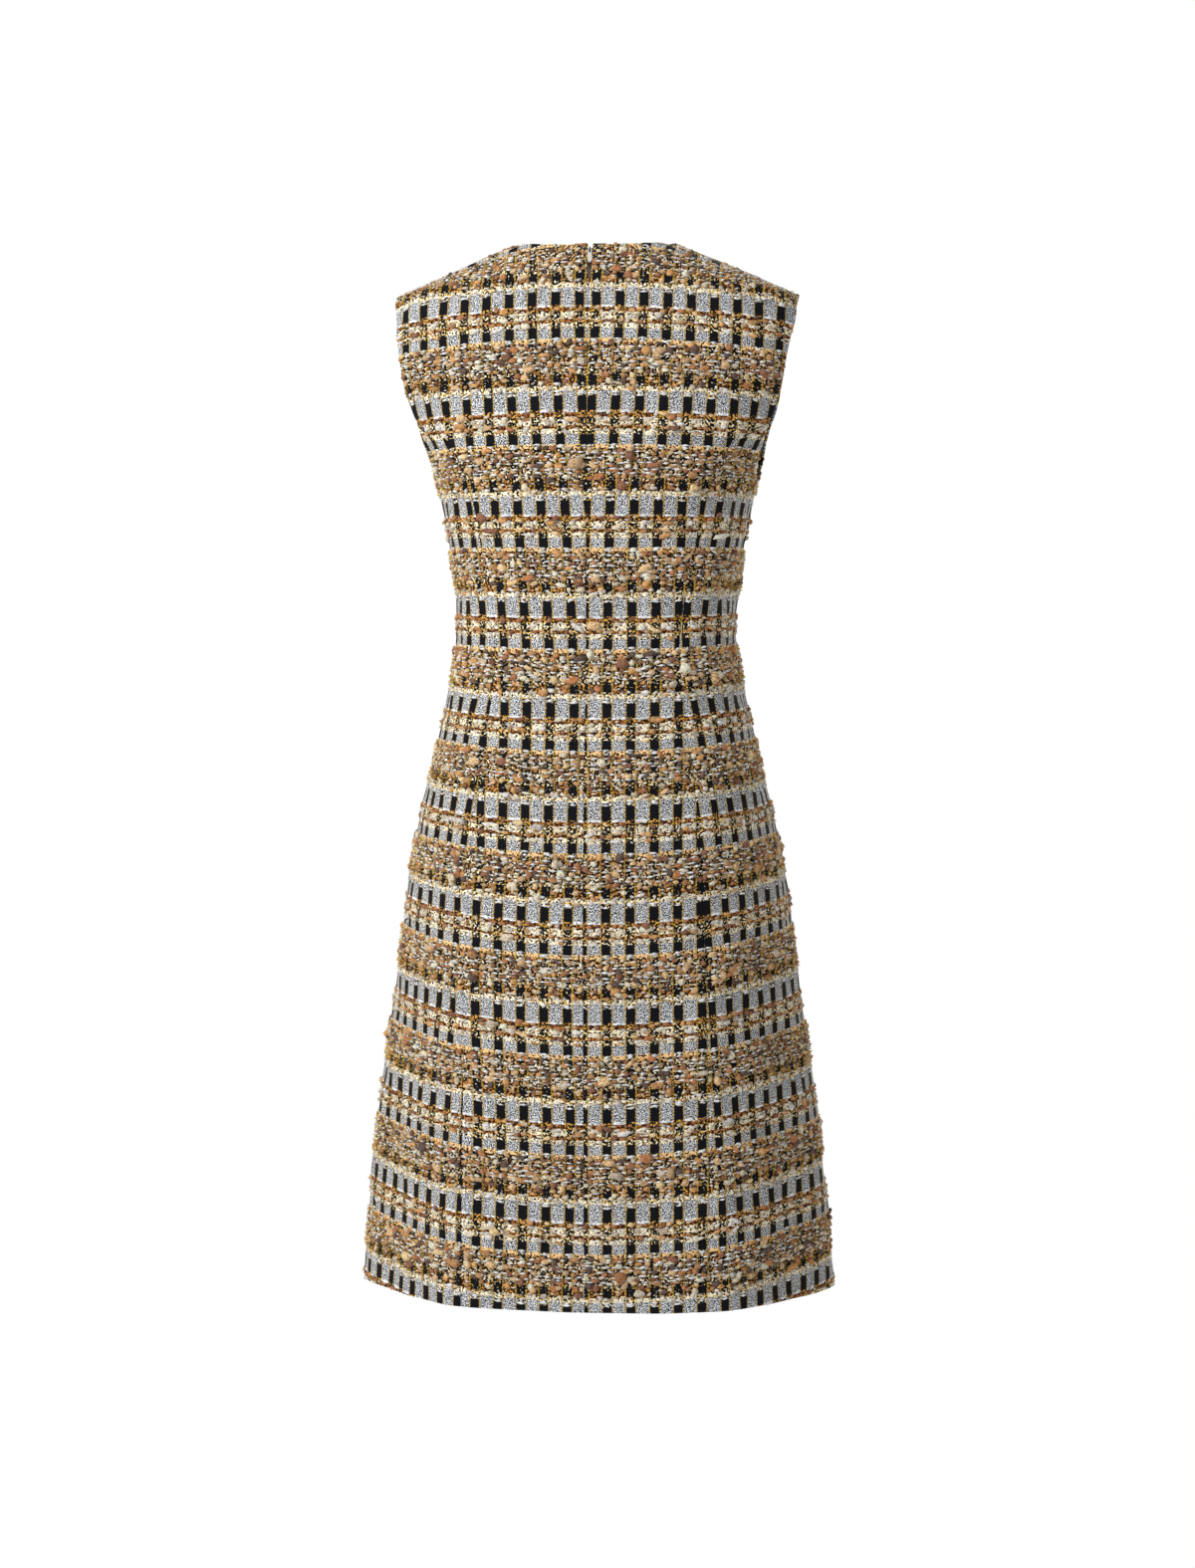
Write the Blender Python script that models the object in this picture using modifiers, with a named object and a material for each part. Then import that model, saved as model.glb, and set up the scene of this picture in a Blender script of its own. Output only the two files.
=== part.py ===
"""Sleeveless A-line shift dress in boucle tweed, hollow, in the form it takes when it is worn.

Metres, +Z up, +Y towards the wearer's back, +X towards the wearer's left. The origin lies midway
between the two high shoulder points, where the shoulder seams meet the neckline, on the inner face
of the cloth. Seven panels are cut and sewn: one centre front on the fold, two side fronts, two side
backs and two centre backs, which an invisible zip closes down the back. Every panel is a grid laid
on one form, the inner face of the cloth, and takes its wall outwards from it.

The form is a stack of level rings. Each ring is a superellipse: its half width at the side seams,
its depth behind and in front of them, and how square it is on either side come from SECTIONS.
"""

import math
from collections import namedtuple

import bmesh
import bpy
from mathutils import Matrix, Vector

# Cloth
WALL = 0.0024
SEAM_GAP = 0.0003
HEM_Z = -0.955

# Neck and shoulders
NECK_HALF_WIDTH = 0.0765
NECK_DEPTH_BACK = 0.0672
NECK_DEPTH_FRONT = 0.080
NECK_ROUND = 2.35
SHOULDER_TIP_X = 0.184
SHOULDER_TIP_Z = -0.0455

# Armholes: an oval seen from the side
UNDERARM_Z = -0.213
ARMHOLE_DEPTH_BACK = 0.050
ARMHOLE_DEPTH_FRONT = 0.052
ARMHOLE_ROUND = 2.1

# Centre back opening and its invisible zip
SLOT_HALF_WIDTH = 0.0022
SLOT_OPEN_Z = -0.025
SLOT_CLOSED_Z = -0.043
TAPE_WIDTH = 0.012
TAPE_THICK = 0.0010
TAPE_TOP_Z = -0.0030
TAPE_END_Z = -0.585
CHAIN_HALF_WIDTH = 0.0026
CHAIN_THICK = 0.0016
CHAIN_TOP_Z = -0.0180
CHAIN_END_Z = -0.565
STOP_LENGTH = 0.004
LAYER_GAP = 0.0003
PIVOT_Z = -0.0085
SLIDER_HALF_WIDTH = 0.0034
SLIDER_THICK = 0.0028
SLIDER_ABOVE = 0.0025
SLIDER_BELOW = 0.0060
LUG_HALF_WIDTH = 0.0004
LUG_RADIUS = 0.0016
LUG_HOLE_RADIUS = 0.00095
TAB_TOP_HALF_WIDTH = 0.0016
TAB_HALF_WIDTH = 0.0020
TAB_THICK = 0.0009
TAB_LENGTH = 0.0140
TAB_ROWS = 14
TAB_CLEAR = 0.0004
EYE_HALF_WIDTH = 0.0009
EYE_LENGTH = 0.0040

PIVOT_OUT = WALL + TAB_CLEAR + TAB_THICK / 2

# How finely the form is faceted
LEVEL_Z = -0.120
SIDE_LEVEL_Z = -0.240
ROW_HEIGHT = 0.030
SIDE_TOP_ROWS = 4
RING_SAMPLES = 48
COLUMN_SAMPLES = 120

Section = namedtuple("Section", "z half_width back front back_square front_square")
SECTIONS = [
    # shoulder tip, chest, underarm, bust, waist, hip, skirt, hem
    Section(-0.0455, 0.1840, 0.0810, 0.0730, 2.30, 2.20),
    Section(-0.0850, 0.1915, 0.0910, 0.0835, 2.35, 2.25),
    Section(-0.1220, 0.1865, 0.0975, 0.0945, 2.40, 2.30),
    Section(-0.1780, 0.1590, 0.1035, 0.1100, 2.50, 2.40),
    Section(-0.2130, 0.1435, 0.1050, 0.1190, 2.55, 2.50),
    Section(-0.2600, 0.1345, 0.1055, 0.1245, 2.65, 2.60),
    Section(-0.3050, 0.1275, 0.1050, 0.1165, 2.80, 2.60),
    Section(-0.3500, 0.1250, 0.1055, 0.1050, 2.90, 2.50),
    Section(-0.4000, 0.1325, 0.1110, 0.1035, 2.80, 2.40),
    Section(-0.4600, 0.1456, 0.1220, 0.1080, 2.65, 2.35),
    Section(-0.5200, 0.1603, 0.1310, 0.1130, 2.45, 2.30),
    Section(-0.5900, 0.1737, 0.1355, 0.1165, 2.25, 2.20),
    Section(-0.6800, 0.1848, 0.1360, 0.1190, 2.10, 2.10),
    Section(-0.8000, 0.2015, 0.1340, 0.1215, 2.00, 2.00),
    Section(-0.9550, 0.2155, 0.1320, 0.1240, 1.95, 1.95),
]
NECK_RING = Section(0.0, NECK_HALF_WIDTH, 0.0660, 0.0600, 2.20, 2.10)

Seam = namedtuple("Seam", "z x")
PRINCESS_BACK = [
    # from the armhole over the shoulder blade to the waist, then out over the hip to the hem
    Seam(-0.1800, 0.1260),
    Seam(-0.2050, 0.1110),
    Seam(-0.2400, 0.1010),
    Seam(-0.2900, 0.0920),
    Seam(-0.3400, 0.0830),
    Seam(-0.3700, 0.0815),
    Seam(-0.4280, 0.0880),
    Seam(-0.5100, 0.0985),
    Seam(-0.6150, 0.1055),
    Seam(-0.9550, 0.1090),
]
PRINCESS_FRONT = [
    # from the armhole over the bust point to the waist, then out over the hip to the hem
    Seam(-0.1800, 0.1290),
    Seam(-0.2100, 0.1080),
    Seam(-0.2550, 0.0930),
    Seam(-0.3050, 0.0840),
    Seam(-0.3500, 0.0790),
    Seam(-0.4300, 0.0870),
    Seam(-0.5200, 0.0970),
    Seam(-0.6200, 0.1040),
    Seam(-0.9550, 0.1120),
]
PRINCESS_TOP_Z = -0.157

# Soft flutes of the flared skirt, from the hip to the hem
FLUTE_START_Z = -0.560
FLUTE_HEIGHT = 0.0032
FLUTE_COUNT = 3


def smooth_curve(points):
    """A function through the points (z, value) with z falling, smooth and with no overshoot."""
    zs = [-p[0] for p in points]
    values = [p[1] for p in points]
    steps = [b - a for a, b in zip(zs, zs[1:])]
    slopes = [(b - a) / h for a, b, h in zip(values, values[1:], steps)]
    tangents = [slopes[0]]
    for before, after in zip(slopes, slopes[1:]):
        product = before * after
        tangents.append(0.0 if product <= 0 else 2 * product / (before + after))
    tangents.append(slopes[-1])

    def value_at(z):
        depth = min(max(-z, zs[0]), zs[-1])
        k = max(i for i in range(len(steps)) if depth >= zs[i])
        t = (depth - zs[k]) / steps[k]
        bend = steps[k] * (t**3 - 2 * t**2 + t)
        unbend = steps[k] * (t**3 - t**2)
        blend = t * t * (3 - 2 * t)
        return (
            values[k] * (1 - blend)
            + values[k + 1] * blend
            + bend * tangents[k]
            + unbend * tangents[k + 1]
        )

    return value_at


def column(name):
    """One column of SECTIONS as a smooth function of z."""
    return smooth_curve([(row.z, getattr(row, name)) for row in SECTIONS])


BODY = {name: column(name) for name in Section._fields[1:]}
PRINCESS_X = {1: smooth_curve(PRINCESS_BACK), -1: smooth_curve(PRINCESS_FRONT)}


def smoothstep(t):
    t = min(max(t, 0.0), 1.0)
    return t * t * (3 - 2 * t)


def section_value(name, z):
    """A column of SECTIONS at height z. Above the shoulder tip it runs straight to the neck's ring."""
    if z < SHOULDER_TIP_Z:
        return BODY[name](z)
    share = z / SHOULDER_TIP_Z
    return getattr(NECK_RING, name) * (1 - share) + getattr(SECTIONS[0], name) * share


def depth_name(side):
    return "back" if side > 0 else "front"


def ring(side, z):
    """(half width, depth, squareness) of the half ring behind the side seams, or before them (-1)."""
    name = depth_name(side)
    return (
        section_value("half_width", z),
        section_value(name, z),
        section_value(name + "_square", z),
    )


def flute(turn, z):
    """How far the skirt's soft flutes stand out, at a turn from the centre line to the side seam."""
    growth = smoothstep((FLUTE_START_Z - z) / (FLUTE_START_Z - HEM_Z))
    return FLUTE_HEIGHT * growth * math.cos(2 * FLUTE_COUNT * turn - math.pi)


def form_point(side, turn, z):
    """A point of the form. turn is 0 on the centre line and pi/2 on the side seam or shoulder seam."""
    half_width, depth, square = ring(side, z)
    x = half_width * math.sin(turn) ** (2 / square)
    y = side * depth * math.cos(turn) ** (2 / square)
    out = Vector((x, y, 0.0)).normalized()
    return Vector((x, y, z)) + out * flute(turn, z)


def turn_at(side, x, z):
    """The turn whose ring point lies at this x."""
    half_width, _, square = ring(side, z)
    return math.asin(min(max(x / half_width, 0.0), 1.0) ** (square / 2))


def armhole_depth(side, z):
    """How far the armhole's edge stands from the side plane at height z."""
    middle = (SHOULDER_TIP_Z + UNDERARM_Z) / 2
    share = min(abs(z - middle) / (SHOULDER_TIP_Z - middle), 1.0)
    reach = ARMHOLE_DEPTH_BACK if side > 0 else ARMHOLE_DEPTH_FRONT
    return reach * (1 - share**ARMHOLE_ROUND) ** (1 / ARMHOLE_ROUND)


def armhole_turn(side, z):
    _, depth, square = ring(side, z)
    return math.acos(min(armhole_depth(side, z) / depth, 1.0) ** (square / 2))


def princess_turn(side, z):
    """The turn of the seam between a centre panel and its side panel, which starts on the armhole."""
    seam_x = PRINCESS_X[side]
    if z >= PRINCESS_TOP_Z:
        return armhole_turn(side, z)
    first = (PRINCESS_BACK if side > 0 else PRINCESS_FRONT)[0]
    below = turn_at(side, seam_x(min(z, first.z)), z)
    start = armhole_turn(side, PRINCESS_TOP_Z)
    share = smoothstep((PRINCESS_TOP_Z - z) / (PRINCESS_TOP_Z - first.z))
    return start * (1 - share) + below * share


def centre_edge_turn(side, z):
    """The outer edge of a centre panel: down the armhole, then down the princess seam."""
    return armhole_turn(side, z) if z > PRINCESS_TOP_Z else princess_turn(side, z)


def solve(function, low, high):
    """Where a rising function passes nought between low and high."""
    for _ in range(50):
        middle = (low + high) / 2
        if function(middle) < 0:
            low = middle
        else:
            high = middle
    return (low + high) / 2


def neckline_point(side, angle):
    """A point of the neckline: an oval seen from above, laid on the form. angle 0 is the centre line."""
    depth = NECK_DEPTH_BACK if side > 0 else NECK_DEPTH_FRONT
    x = NECK_HALF_WIDTH * math.sin(angle) ** (2 / NECK_ROUND)
    y = depth * math.cos(angle) ** (2 / NECK_ROUND)

    def too_deep(z):
        return y - abs(form_point(side, turn_at(side, x, z), z).y)

    return x, solve(too_deep, LEVEL_Z, 0.0)


def polyline_lengths(points):
    lengths = [0.0]
    for a, b in zip(points, points[1:]):
        lengths.append(lengths[-1] + (b - a).length)
    return lengths


def evenly(values, lengths, count):
    """count + 1 of the values, read off at equal lengths."""
    picked = []
    k = 0
    for i in range(count + 1):
        at = lengths[-1] * i / count
        while k < len(lengths) - 2 and lengths[k + 1] < at:
            k += 1
        span = max(lengths[k + 1] - lengths[k], 1e-12)
        share = min(max((at - lengths[k]) / span, 0.0), 1.0)
        picked.append(values[k] * (1 - share) + values[k + 1] * share)
    return picked


def even_turns(side, z, first, last, count):
    """Turns that part the ring at height z into equal lengths between two turns."""
    turns = [first + (last - first) * i / RING_SAMPLES for i in range(RING_SAMPLES + 1)]
    lengths = polyline_lengths([form_point(side, turn, z) for turn in turns])
    return evenly(turns, lengths, count)


def inset_turn(side, turn, z, distance):
    """The turn moved along the ring by a distance towards the centre line (or away, if it is negative)."""
    small = 1e-3
    near = form_point(side, turn - small, z)
    at = form_point(side, turn, z)
    return turn - distance * small / max((at - near).length, 1e-9)


def levels(top, bottom, count=0):
    """Heights below the top one, down to the bottom one, a row apart."""
    count = count or max(1, round((top - bottom) / ROW_HEIGHT))
    return [top + (bottom - top) * i / count for i in range(1, count + 1)]


def panel_levels(bottom):
    """The levels below LEVEL_Z that neighbouring panels share, cut off at the bottom."""
    shared = levels(LEVEL_Z, PRINCESS_TOP_Z)
    shared += levels(PRINCESS_TOP_Z, SIDE_LEVEL_Z, SIDE_TOP_ROWS)
    shared += levels(SIDE_LEVEL_Z, HEM_Z)
    return [z for z in shared if z > bottom + 0.002] + [bottom]


def neck_angle(x):
    """The angle whose neckline point lies at this x."""
    return math.asin((x / NECK_HALF_WIDTH) ** (NECK_ROUND / 2))


def top_edge(side, fixed, neck_columns, shoulder_columns):
    """(x, z) of each column's upper end: along the neckline, then along the shoulder seam."""
    leading = [neckline_point(side, neck_angle(x_at(0.0))) for x_at in fixed]
    first = neck_angle(fixed[-1](0.0))
    angles = [first + (math.pi / 2 - first) * i / RING_SAMPLES for i in range(RING_SAMPLES + 1)]
    neck = [neckline_point(side, angle) for angle in angles]
    points = [form_point(side, turn_at(side, x, z), z) for x, z in neck]
    lengths = polyline_lengths(points)
    xs = evenly([x for x, _ in neck], lengths, neck_columns)
    zs = evenly([z for _, z in neck], lengths, neck_columns)
    for i in range(1, shoulder_columns + 1):
        share = i / shoulder_columns
        xs.append(NECK_HALF_WIDTH + (SHOULDER_TIP_X - NECK_HALF_WIDTH) * share)
        zs.append(SHOULDER_TIP_Z * share)
    return leading[:-1] + list(zip(xs, zs))


def slot_half_width(z):
    """Half the gap between the two centre backs: open round the zip's slider, then just a seam."""
    share = smoothstep((SLOT_OPEN_Z - z) / (SLOT_OPEN_Z - SLOT_CLOSED_Z))
    return SLOT_HALF_WIDTH * (1 - share) + SEAM_GAP / 2 * share


def tape_edge(z):
    """A column of each centre back follows the zip tape's outer edge, so the cloth lies flat on it."""
    return SLOT_HALF_WIDTH + TAPE_WIDTH + 0.0005


def fold_line(z):
    return 0.0


def centre_column(side, i, fixed, count, top):
    """The function of z that gives a column's turn, from its upper end down to the hem."""
    top_x, top_z = top

    def level_turn(z):
        """The turn that spaces the column evenly between the last fixed one and the panel's edge."""
        edge = inset_turn(side, centre_edge_turn(side, z), z, SEAM_GAP / 2)
        first = turn_at(side, fixed[-1](z), z)
        return even_turns(side, z, first, edge, count - len(fixed) + 1)[i - len(fixed) + 1]

    def turn(z):
        if i < len(fixed):
            return turn_at(side, fixed[i](z), z)
        if z < LEVEL_Z:
            return level_turn(z)
        if i == count:
            return armhole_turn(side, min(z, SHOULDER_TIP_Z))
        below = min(z, SHOULDER_TIP_Z)
        low_x = form_point(side, level_turn(below), below).x
        share = smoothstep((top_z - z) / (top_z - LEVEL_Z))
        return turn_at(side, top_x * (1 - share) + low_x * share, z)

    return turn


def spaced_heights(side, turn, top_z, rows):
    """Heights from a column's upper end to LEVEL_Z, evenly spaced along the cloth."""
    shares = [(k / COLUMN_SAMPLES) ** 2 for k in range(COLUMN_SAMPLES + 1)]
    heights = [top_z + (LEVEL_Z - top_z) * share for share in shares]
    lengths = polyline_lengths([form_point(side, turn(z), z) for z in heights])
    return evenly(heights, lengths, rows)


def centre_panel_points(side, fixed, neck_columns, shoulder_columns, upper_rows):
    """A centre panel: from the neckline and the shoulder seam down to the hem."""
    count = len(fixed) - 1 + neck_columns + shoulder_columns
    grid = []
    for i, top in enumerate(top_edge(side, fixed, neck_columns, shoulder_columns)):
        turn = centre_column(side, i, fixed, count, top)
        heights = spaced_heights(side, turn, top[1], upper_rows) + panel_levels(HEM_Z)
        grid.append([form_point(side, turn(z), z) for z in heights])
    return grid


def side_panel_points(side, columns):
    """From the princess seam to the side seam, and from the lower armhole to the hem."""
    lower = levels(SIDE_LEVEL_Z, HEM_Z)
    grid = []
    for i in range(columns + 1):

        def turn(z, i=i):
            first = inset_turn(side, princess_turn(side, z), z, -SEAM_GAP / 2)
            last = inset_turn(side, math.pi / 2, z, SEAM_GAP / 2)
            return even_turns(side, z, first, last, columns)[i]

        def beyond(z):
            return armhole_turn(side, z) - turn(z)

        top_z = PRINCESS_TOP_Z
        if i > 0:
            top_z = -solve(lambda drop: beyond(-drop), -PRINCESS_TOP_Z, -UNDERARM_Z)
        heights = [top_z, *levels(top_z, SIDE_LEVEL_Z, SIDE_TOP_ROWS), *lower]
        grid.append([form_point(side, turn(z), z) for z in heights])
    return grid


def clear_scene():
    for old in list(bpy.data.objects):
        bpy.data.objects.remove(old)


def material(name, colour, roughness, metallic=0.0):
    made = bpy.data.materials.new(name)
    made.use_nodes = True
    shader = made.node_tree.nodes["Principled BSDF"]
    shader.inputs["Base Color"].default_value = (*colour, 1.0)
    shader.inputs["Roughness"].default_value = roughness
    shader.inputs["Metallic"].default_value = metallic
    return made


def add_object(name, mesh, finish, collection):
    made = bpy.data.objects.new(name, mesh)
    mesh.materials.append(finish)
    collection.objects.link(made)
    return made


def grid_mesh(name, grid, mirror_x=False, facing=None):
    """A grid of faces through columns of points, facing one way or else away from the body's axis."""
    columns, rows = len(grid) - 1, len(grid[0]) - 1
    bm = bmesh.new()
    bmesh.ops.create_grid(bm, x_segments=columns, y_segments=rows, size=0.5)
    for vert in bm.verts:
        i = round((vert.co.x + 0.5) * columns)
        j = round((vert.co.y + 0.5) * rows)
        place = grid[i][j].copy()
        if mirror_x:
            place.x = -place.x
        vert.co = place
    bm.normal_update()
    agreement = 0.0
    for face in bm.faces:
        away = Vector(facing) if facing else Vector((*face.calc_center_median().xy, 0.0))
        agreement += face.normal.dot(away)
    if agreement < 0:
        bmesh.ops.reverse_faces(bm, faces=bm.faces)
    mesh = bpy.data.meshes.new(name)
    bm.to_mesh(mesh)
    bm.free()
    return mesh


def solidify(obj, thickness):
    wall = obj.modifiers.new("Wall", "SOLIDIFY")
    wall.thickness = thickness
    wall.offset = 1.0
    wall.use_even_offset = True


def shade_round(obj):
    obj.data.shade_smooth()
    obj.data.set_sharp_from_angle(angle=math.radians(40))


def cloth_panel(name, grid, finish, collection, mirror_x=False, whole=False):
    obj = add_object(name, grid_mesh(name, grid, mirror_x), finish, collection)
    if whole:
        mirror = obj.modifiers.new("Fold", "MIRROR")
        mirror.use_clip = True
        mirror.merge_threshold = 0.0001
    solidify(obj, WALL)
    shade_round(obj)
    return obj


def add_cloth(collection):
    tweed = material("Boucle tweed", (0.42, 0.27, 0.15), 0.95)
    shoulder_gap = Vector((0.0, SEAM_GAP / 2, 0.0))

    def parted(side, grid):
        """The panel drawn back from the side plane, so that its shoulder seam keeps its gap."""
        return [[point + side * shoulder_gap for point in line] for line in grid]

    front = parted(-1, centre_panel_points(-1, [fold_line], 5, 3, 7))
    cloth_panel("center_front", front, tweed, collection, whole=True)
    back = parted(1, centre_panel_points(1, [slot_half_width, tape_edge], 4, 3, 7))
    side_front = side_panel_points(-1, 5)
    side_back = side_panel_points(1, 5)
    for hand, mirror_x in (("left", False), ("right", True)):
        cloth_panel(f"center_back_{hand}", back, tweed, collection, mirror_x)
        cloth_panel(f"side_front_{hand}", side_front, tweed, collection, mirror_x)
        cloth_panel(f"side_back_{hand}", side_back, tweed, collection, mirror_x)


def strip_grid(low_x, high_x, top_z, bottom_z, depth_below):
    """Two columns of points down the centre back, a depth under the cloth's inner face."""
    heights = [top_z, *levels(top_z, LEVEL_Z, 8), *panel_levels(bottom_z)]
    grid = []
    for x in (low_x, high_x):
        inner = [form_point(1, turn_at(1, abs(x), z), z).y for z in heights]
        grid.append([Vector((x, y - depth_below, z)) for y, z in zip(inner, heights)])
    return grid


def tab_half_width(down):
    """Half the tab's width a distance below its top: a long drop, round at both ends."""
    share = down / TAB_LENGTH
    drop = TAB_TOP_HALF_WIDTH + (TAB_HALF_WIDTH - TAB_TOP_HALF_WIDTH) * smoothstep(share / 0.6)
    end = min(max((share - 0.72) / 0.28, 0.0), 0.96)
    start = min(max((0.06 - share) / 0.06, 0.0), 0.80)
    return drop * math.sqrt(1 - end * end) * math.sqrt(1 - start * start)


def zip_frame():
    """The slider's own frame: on the pull tab's pivot, its Z along the centre back and its Y outwards."""
    above = form_point(1, 0.0, PIVOT_Z + 0.005)
    below = form_point(1, 0.0, PIVOT_Z - 0.013)
    up = (above - below).normalized()
    out = Vector((0.0, up.z, -up.y))
    pivot = form_point(1, 0.0, PIVOT_Z) + out * PIVOT_OUT
    pivot.x = 0.0
    turn = Matrix((Vector((1, 0, 0)), out, up)).transposed().to_4x4()
    return Matrix.Translation(pivot) @ turn


def box_mesh(bm, low, high):
    """Adds a box between two corners."""
    made = bmesh.ops.create_cube(bm, size=1.0)["verts"]
    size = Vector(high) - Vector(low)
    bmesh.ops.scale(bm, vec=size, verts=made)
    bmesh.ops.translate(bm, vec=(Vector(high) + Vector(low)) / 2, verts=made)
    return made


def cylinder_x(bm, radius, half_length, centre, sides):
    """Adds a closed cylinder along X."""
    made = bmesh.ops.create_cone(
        bm, cap_ends=True, segments=sides, radius1=radius, radius2=radius, depth=2 * half_length
    )["verts"]
    bmesh.ops.rotate(bm, verts=made, cent=(0, 0, 0), matrix=Matrix.Rotation(math.pi / 2, 3, "Y"))
    bmesh.ops.translate(bm, vec=centre, verts=made)


def small_piece(name, build, finish, collection, place=None):
    bm = bmesh.new()
    build(bm)
    mesh = bpy.data.meshes.new(name)
    bm.to_mesh(mesh)
    bm.free()
    obj = add_object(name, mesh, finish, collection)
    if place is not None:
        obj.parent = place
    return obj


def boolean(obj, other, operation):
    step = obj.modifiers.new(other.name, "BOOLEAN")
    step.operation = operation
    step.object = other


def add_zip(collection, cutters):
    tape = material("Zip tape", (0.30, 0.22, 0.15), 0.9)
    coil = material("Zip coil", (0.20, 0.15, 0.11), 0.5)
    metal = material("Zip slider metal", (0.62, 0.58, 0.50), 0.35, 1.0)

    tape_depth = LAYER_GAP + TAPE_THICK
    chain_depth = tape_depth + LAYER_GAP + CHAIN_THICK
    inner_x = SLOT_HALF_WIDTH + 0.0001
    for hand, sign in (("left", 1), ("right", -1)):
        ends = sorted((sign * inner_x, sign * (inner_x + TAPE_WIDTH)))
        grid = strip_grid(*ends, TAPE_TOP_Z, TAPE_END_Z, tape_depth)
        strip = add_object(f"zip_tape_{hand}", grid_mesh("zip_tape", grid), tape, collection)
        solidify(strip, TAPE_THICK)
    ends = (-CHAIN_HALF_WIDTH, CHAIN_HALF_WIDTH)
    grid = strip_grid(*ends, CHAIN_TOP_Z, CHAIN_END_Z, chain_depth)
    chain = add_object("zip_chain", grid_mesh("zip_chain", grid), coil, collection)
    solidify(chain, CHAIN_THICK)

    stop_y = form_point(1, 0.0, CHAIN_END_Z).y - chain_depth
    stop_top = CHAIN_END_Z - LAYER_GAP
    low = (-CHAIN_HALF_WIDTH - 0.0006, stop_y - 0.0002, stop_top - STOP_LENGTH)
    high = (CHAIN_HALF_WIDTH + 0.0006, stop_y + CHAIN_THICK - 0.0004, stop_top)
    small_piece("zip_stop", lambda bm: box_mesh(bm, low, high), metal, collection)

    pivot = bpy.data.objects.new("zip_pivot", None)
    pivot.matrix_world = zip_frame()
    collection.objects.link(pivot)
    body_face = -PIVOT_OUT - tape_depth - LAYER_GAP

    def slider_body(bm):
        low = (-SLIDER_HALF_WIDTH, body_face - SLIDER_THICK, -SLIDER_BELOW)
        box_mesh(bm, low, (SLIDER_HALF_WIDTH, body_face, SLIDER_ABOVE))

    slider = small_piece("zip_slider", slider_body, metal, collection, pivot)
    rounding = slider.modifiers.new("Round", "BEVEL")
    rounding.width = 0.0008
    rounding.segments = 2

    def lug(bm):
        low = (-LUG_HALF_WIDTH, body_face - 0.001, -LUG_RADIUS)
        box_mesh(bm, low, (LUG_HALF_WIDTH, 0.0, LUG_RADIUS))

    def lug_end(bm):
        cylinder_x(bm, LUG_RADIUS, LUG_HALF_WIDTH, (0, 0, 0), 20)

    def lug_hole(bm):
        cylinder_x(bm, LUG_HOLE_RADIUS, 4 * LUG_HALF_WIDTH, (0, 0, 0), 16)

    for name, build, operation in (
        ("lug", lug, "UNION"),
        ("lug_end", lug_end, "UNION"),
        ("lug_hole", lug_hole, "DIFFERENCE"),
    ):
        cutter = small_piece(name, build, metal, cutters, pivot)
        cutter.hide_render = True
        cutter.display_type = "WIRE"
        boolean(slider, cutter, operation)

    rows = [TAB_LENGTH * smoothstep(i / TAB_ROWS) for i in range(TAB_ROWS + 1)]
    columns = [
        [Vector((hand * tab_half_width(down), -TAB_THICK / 2, TAB_THICK / 2 - down)) for down in rows]
        for hand in (-1, 0, 1)
    ]
    tab = add_object("zip_pull_tab", grid_mesh("zip_pull_tab", columns, facing=(0, 1, 0)), metal, collection)
    tab.parent = pivot
    solidify(tab, TAB_THICK)

    def eye(bm):
        low = (-EYE_HALF_WIDTH, -2 * TAB_THICK, -EYE_LENGTH)
        box_mesh(bm, low, (EYE_HALF_WIDTH, 2 * TAB_THICK, -TAB_THICK / 2))

    cutter = small_piece("tab_eye", eye, metal, cutters, pivot)
    cutter.hide_render = True
    cutter.display_type = "WIRE"
    boolean(tab, cutter, "DIFFERENCE")


def main():
    clear_scene()
    dress = bpy.data.collections.new("Shift dress")
    cutters = bpy.data.collections.new("Cutters")
    bpy.context.scene.collection.children.link(dress)
    bpy.context.scene.collection.children.link(cutters)
    add_cloth(dress)
    add_zip(dress, cutters)


main()
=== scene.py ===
"""Sleeveless shift dress in boucle tweed: the finish of the cloth, its yarns, its folds and its zip.

Metres, +Z up, +Y towards the wearer's back, +X towards the wearer's left. Each panel is one sheet of
cloth laid on the worn form, with its own grain. The weave repeats every COLUMN across the cloth and
every REPEAT down it. Fine threads are in the material; the thick yarns lie on the cloth as lumps.
"""

import math
from collections import namedtuple

import bmesh
import bpy
import numpy as np
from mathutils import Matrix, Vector


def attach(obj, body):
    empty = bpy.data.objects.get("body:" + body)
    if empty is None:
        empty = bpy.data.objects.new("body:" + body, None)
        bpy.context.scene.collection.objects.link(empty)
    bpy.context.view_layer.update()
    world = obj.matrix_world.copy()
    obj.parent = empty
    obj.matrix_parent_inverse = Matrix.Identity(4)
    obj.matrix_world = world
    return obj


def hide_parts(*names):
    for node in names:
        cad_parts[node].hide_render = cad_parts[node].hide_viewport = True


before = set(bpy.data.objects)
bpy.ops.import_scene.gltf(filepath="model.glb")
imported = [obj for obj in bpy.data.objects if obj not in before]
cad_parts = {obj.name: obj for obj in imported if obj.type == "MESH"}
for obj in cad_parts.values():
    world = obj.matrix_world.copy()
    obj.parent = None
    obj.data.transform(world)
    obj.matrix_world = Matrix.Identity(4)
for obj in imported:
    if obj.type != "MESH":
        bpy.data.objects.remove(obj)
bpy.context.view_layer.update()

# The cut, as the frame's own cloth has it
WALL = 0.0024
SEAM_GAP = 0.0003
HEM_Z = -0.955
NECK_HALF_WIDTH = 0.0765
NECK_DEPTH = {1: 0.0672, -1: 0.080}
NECK_ROUND = 2.35
SHOULDER_TIP_X = 0.184
SHOULDER_TIP_Z = -0.0455
UNDERARM_Z = -0.213
ARMHOLE_DEPTH = {1: 0.050, -1: 0.052}
ARMHOLE_ROUND = 2.1
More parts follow.
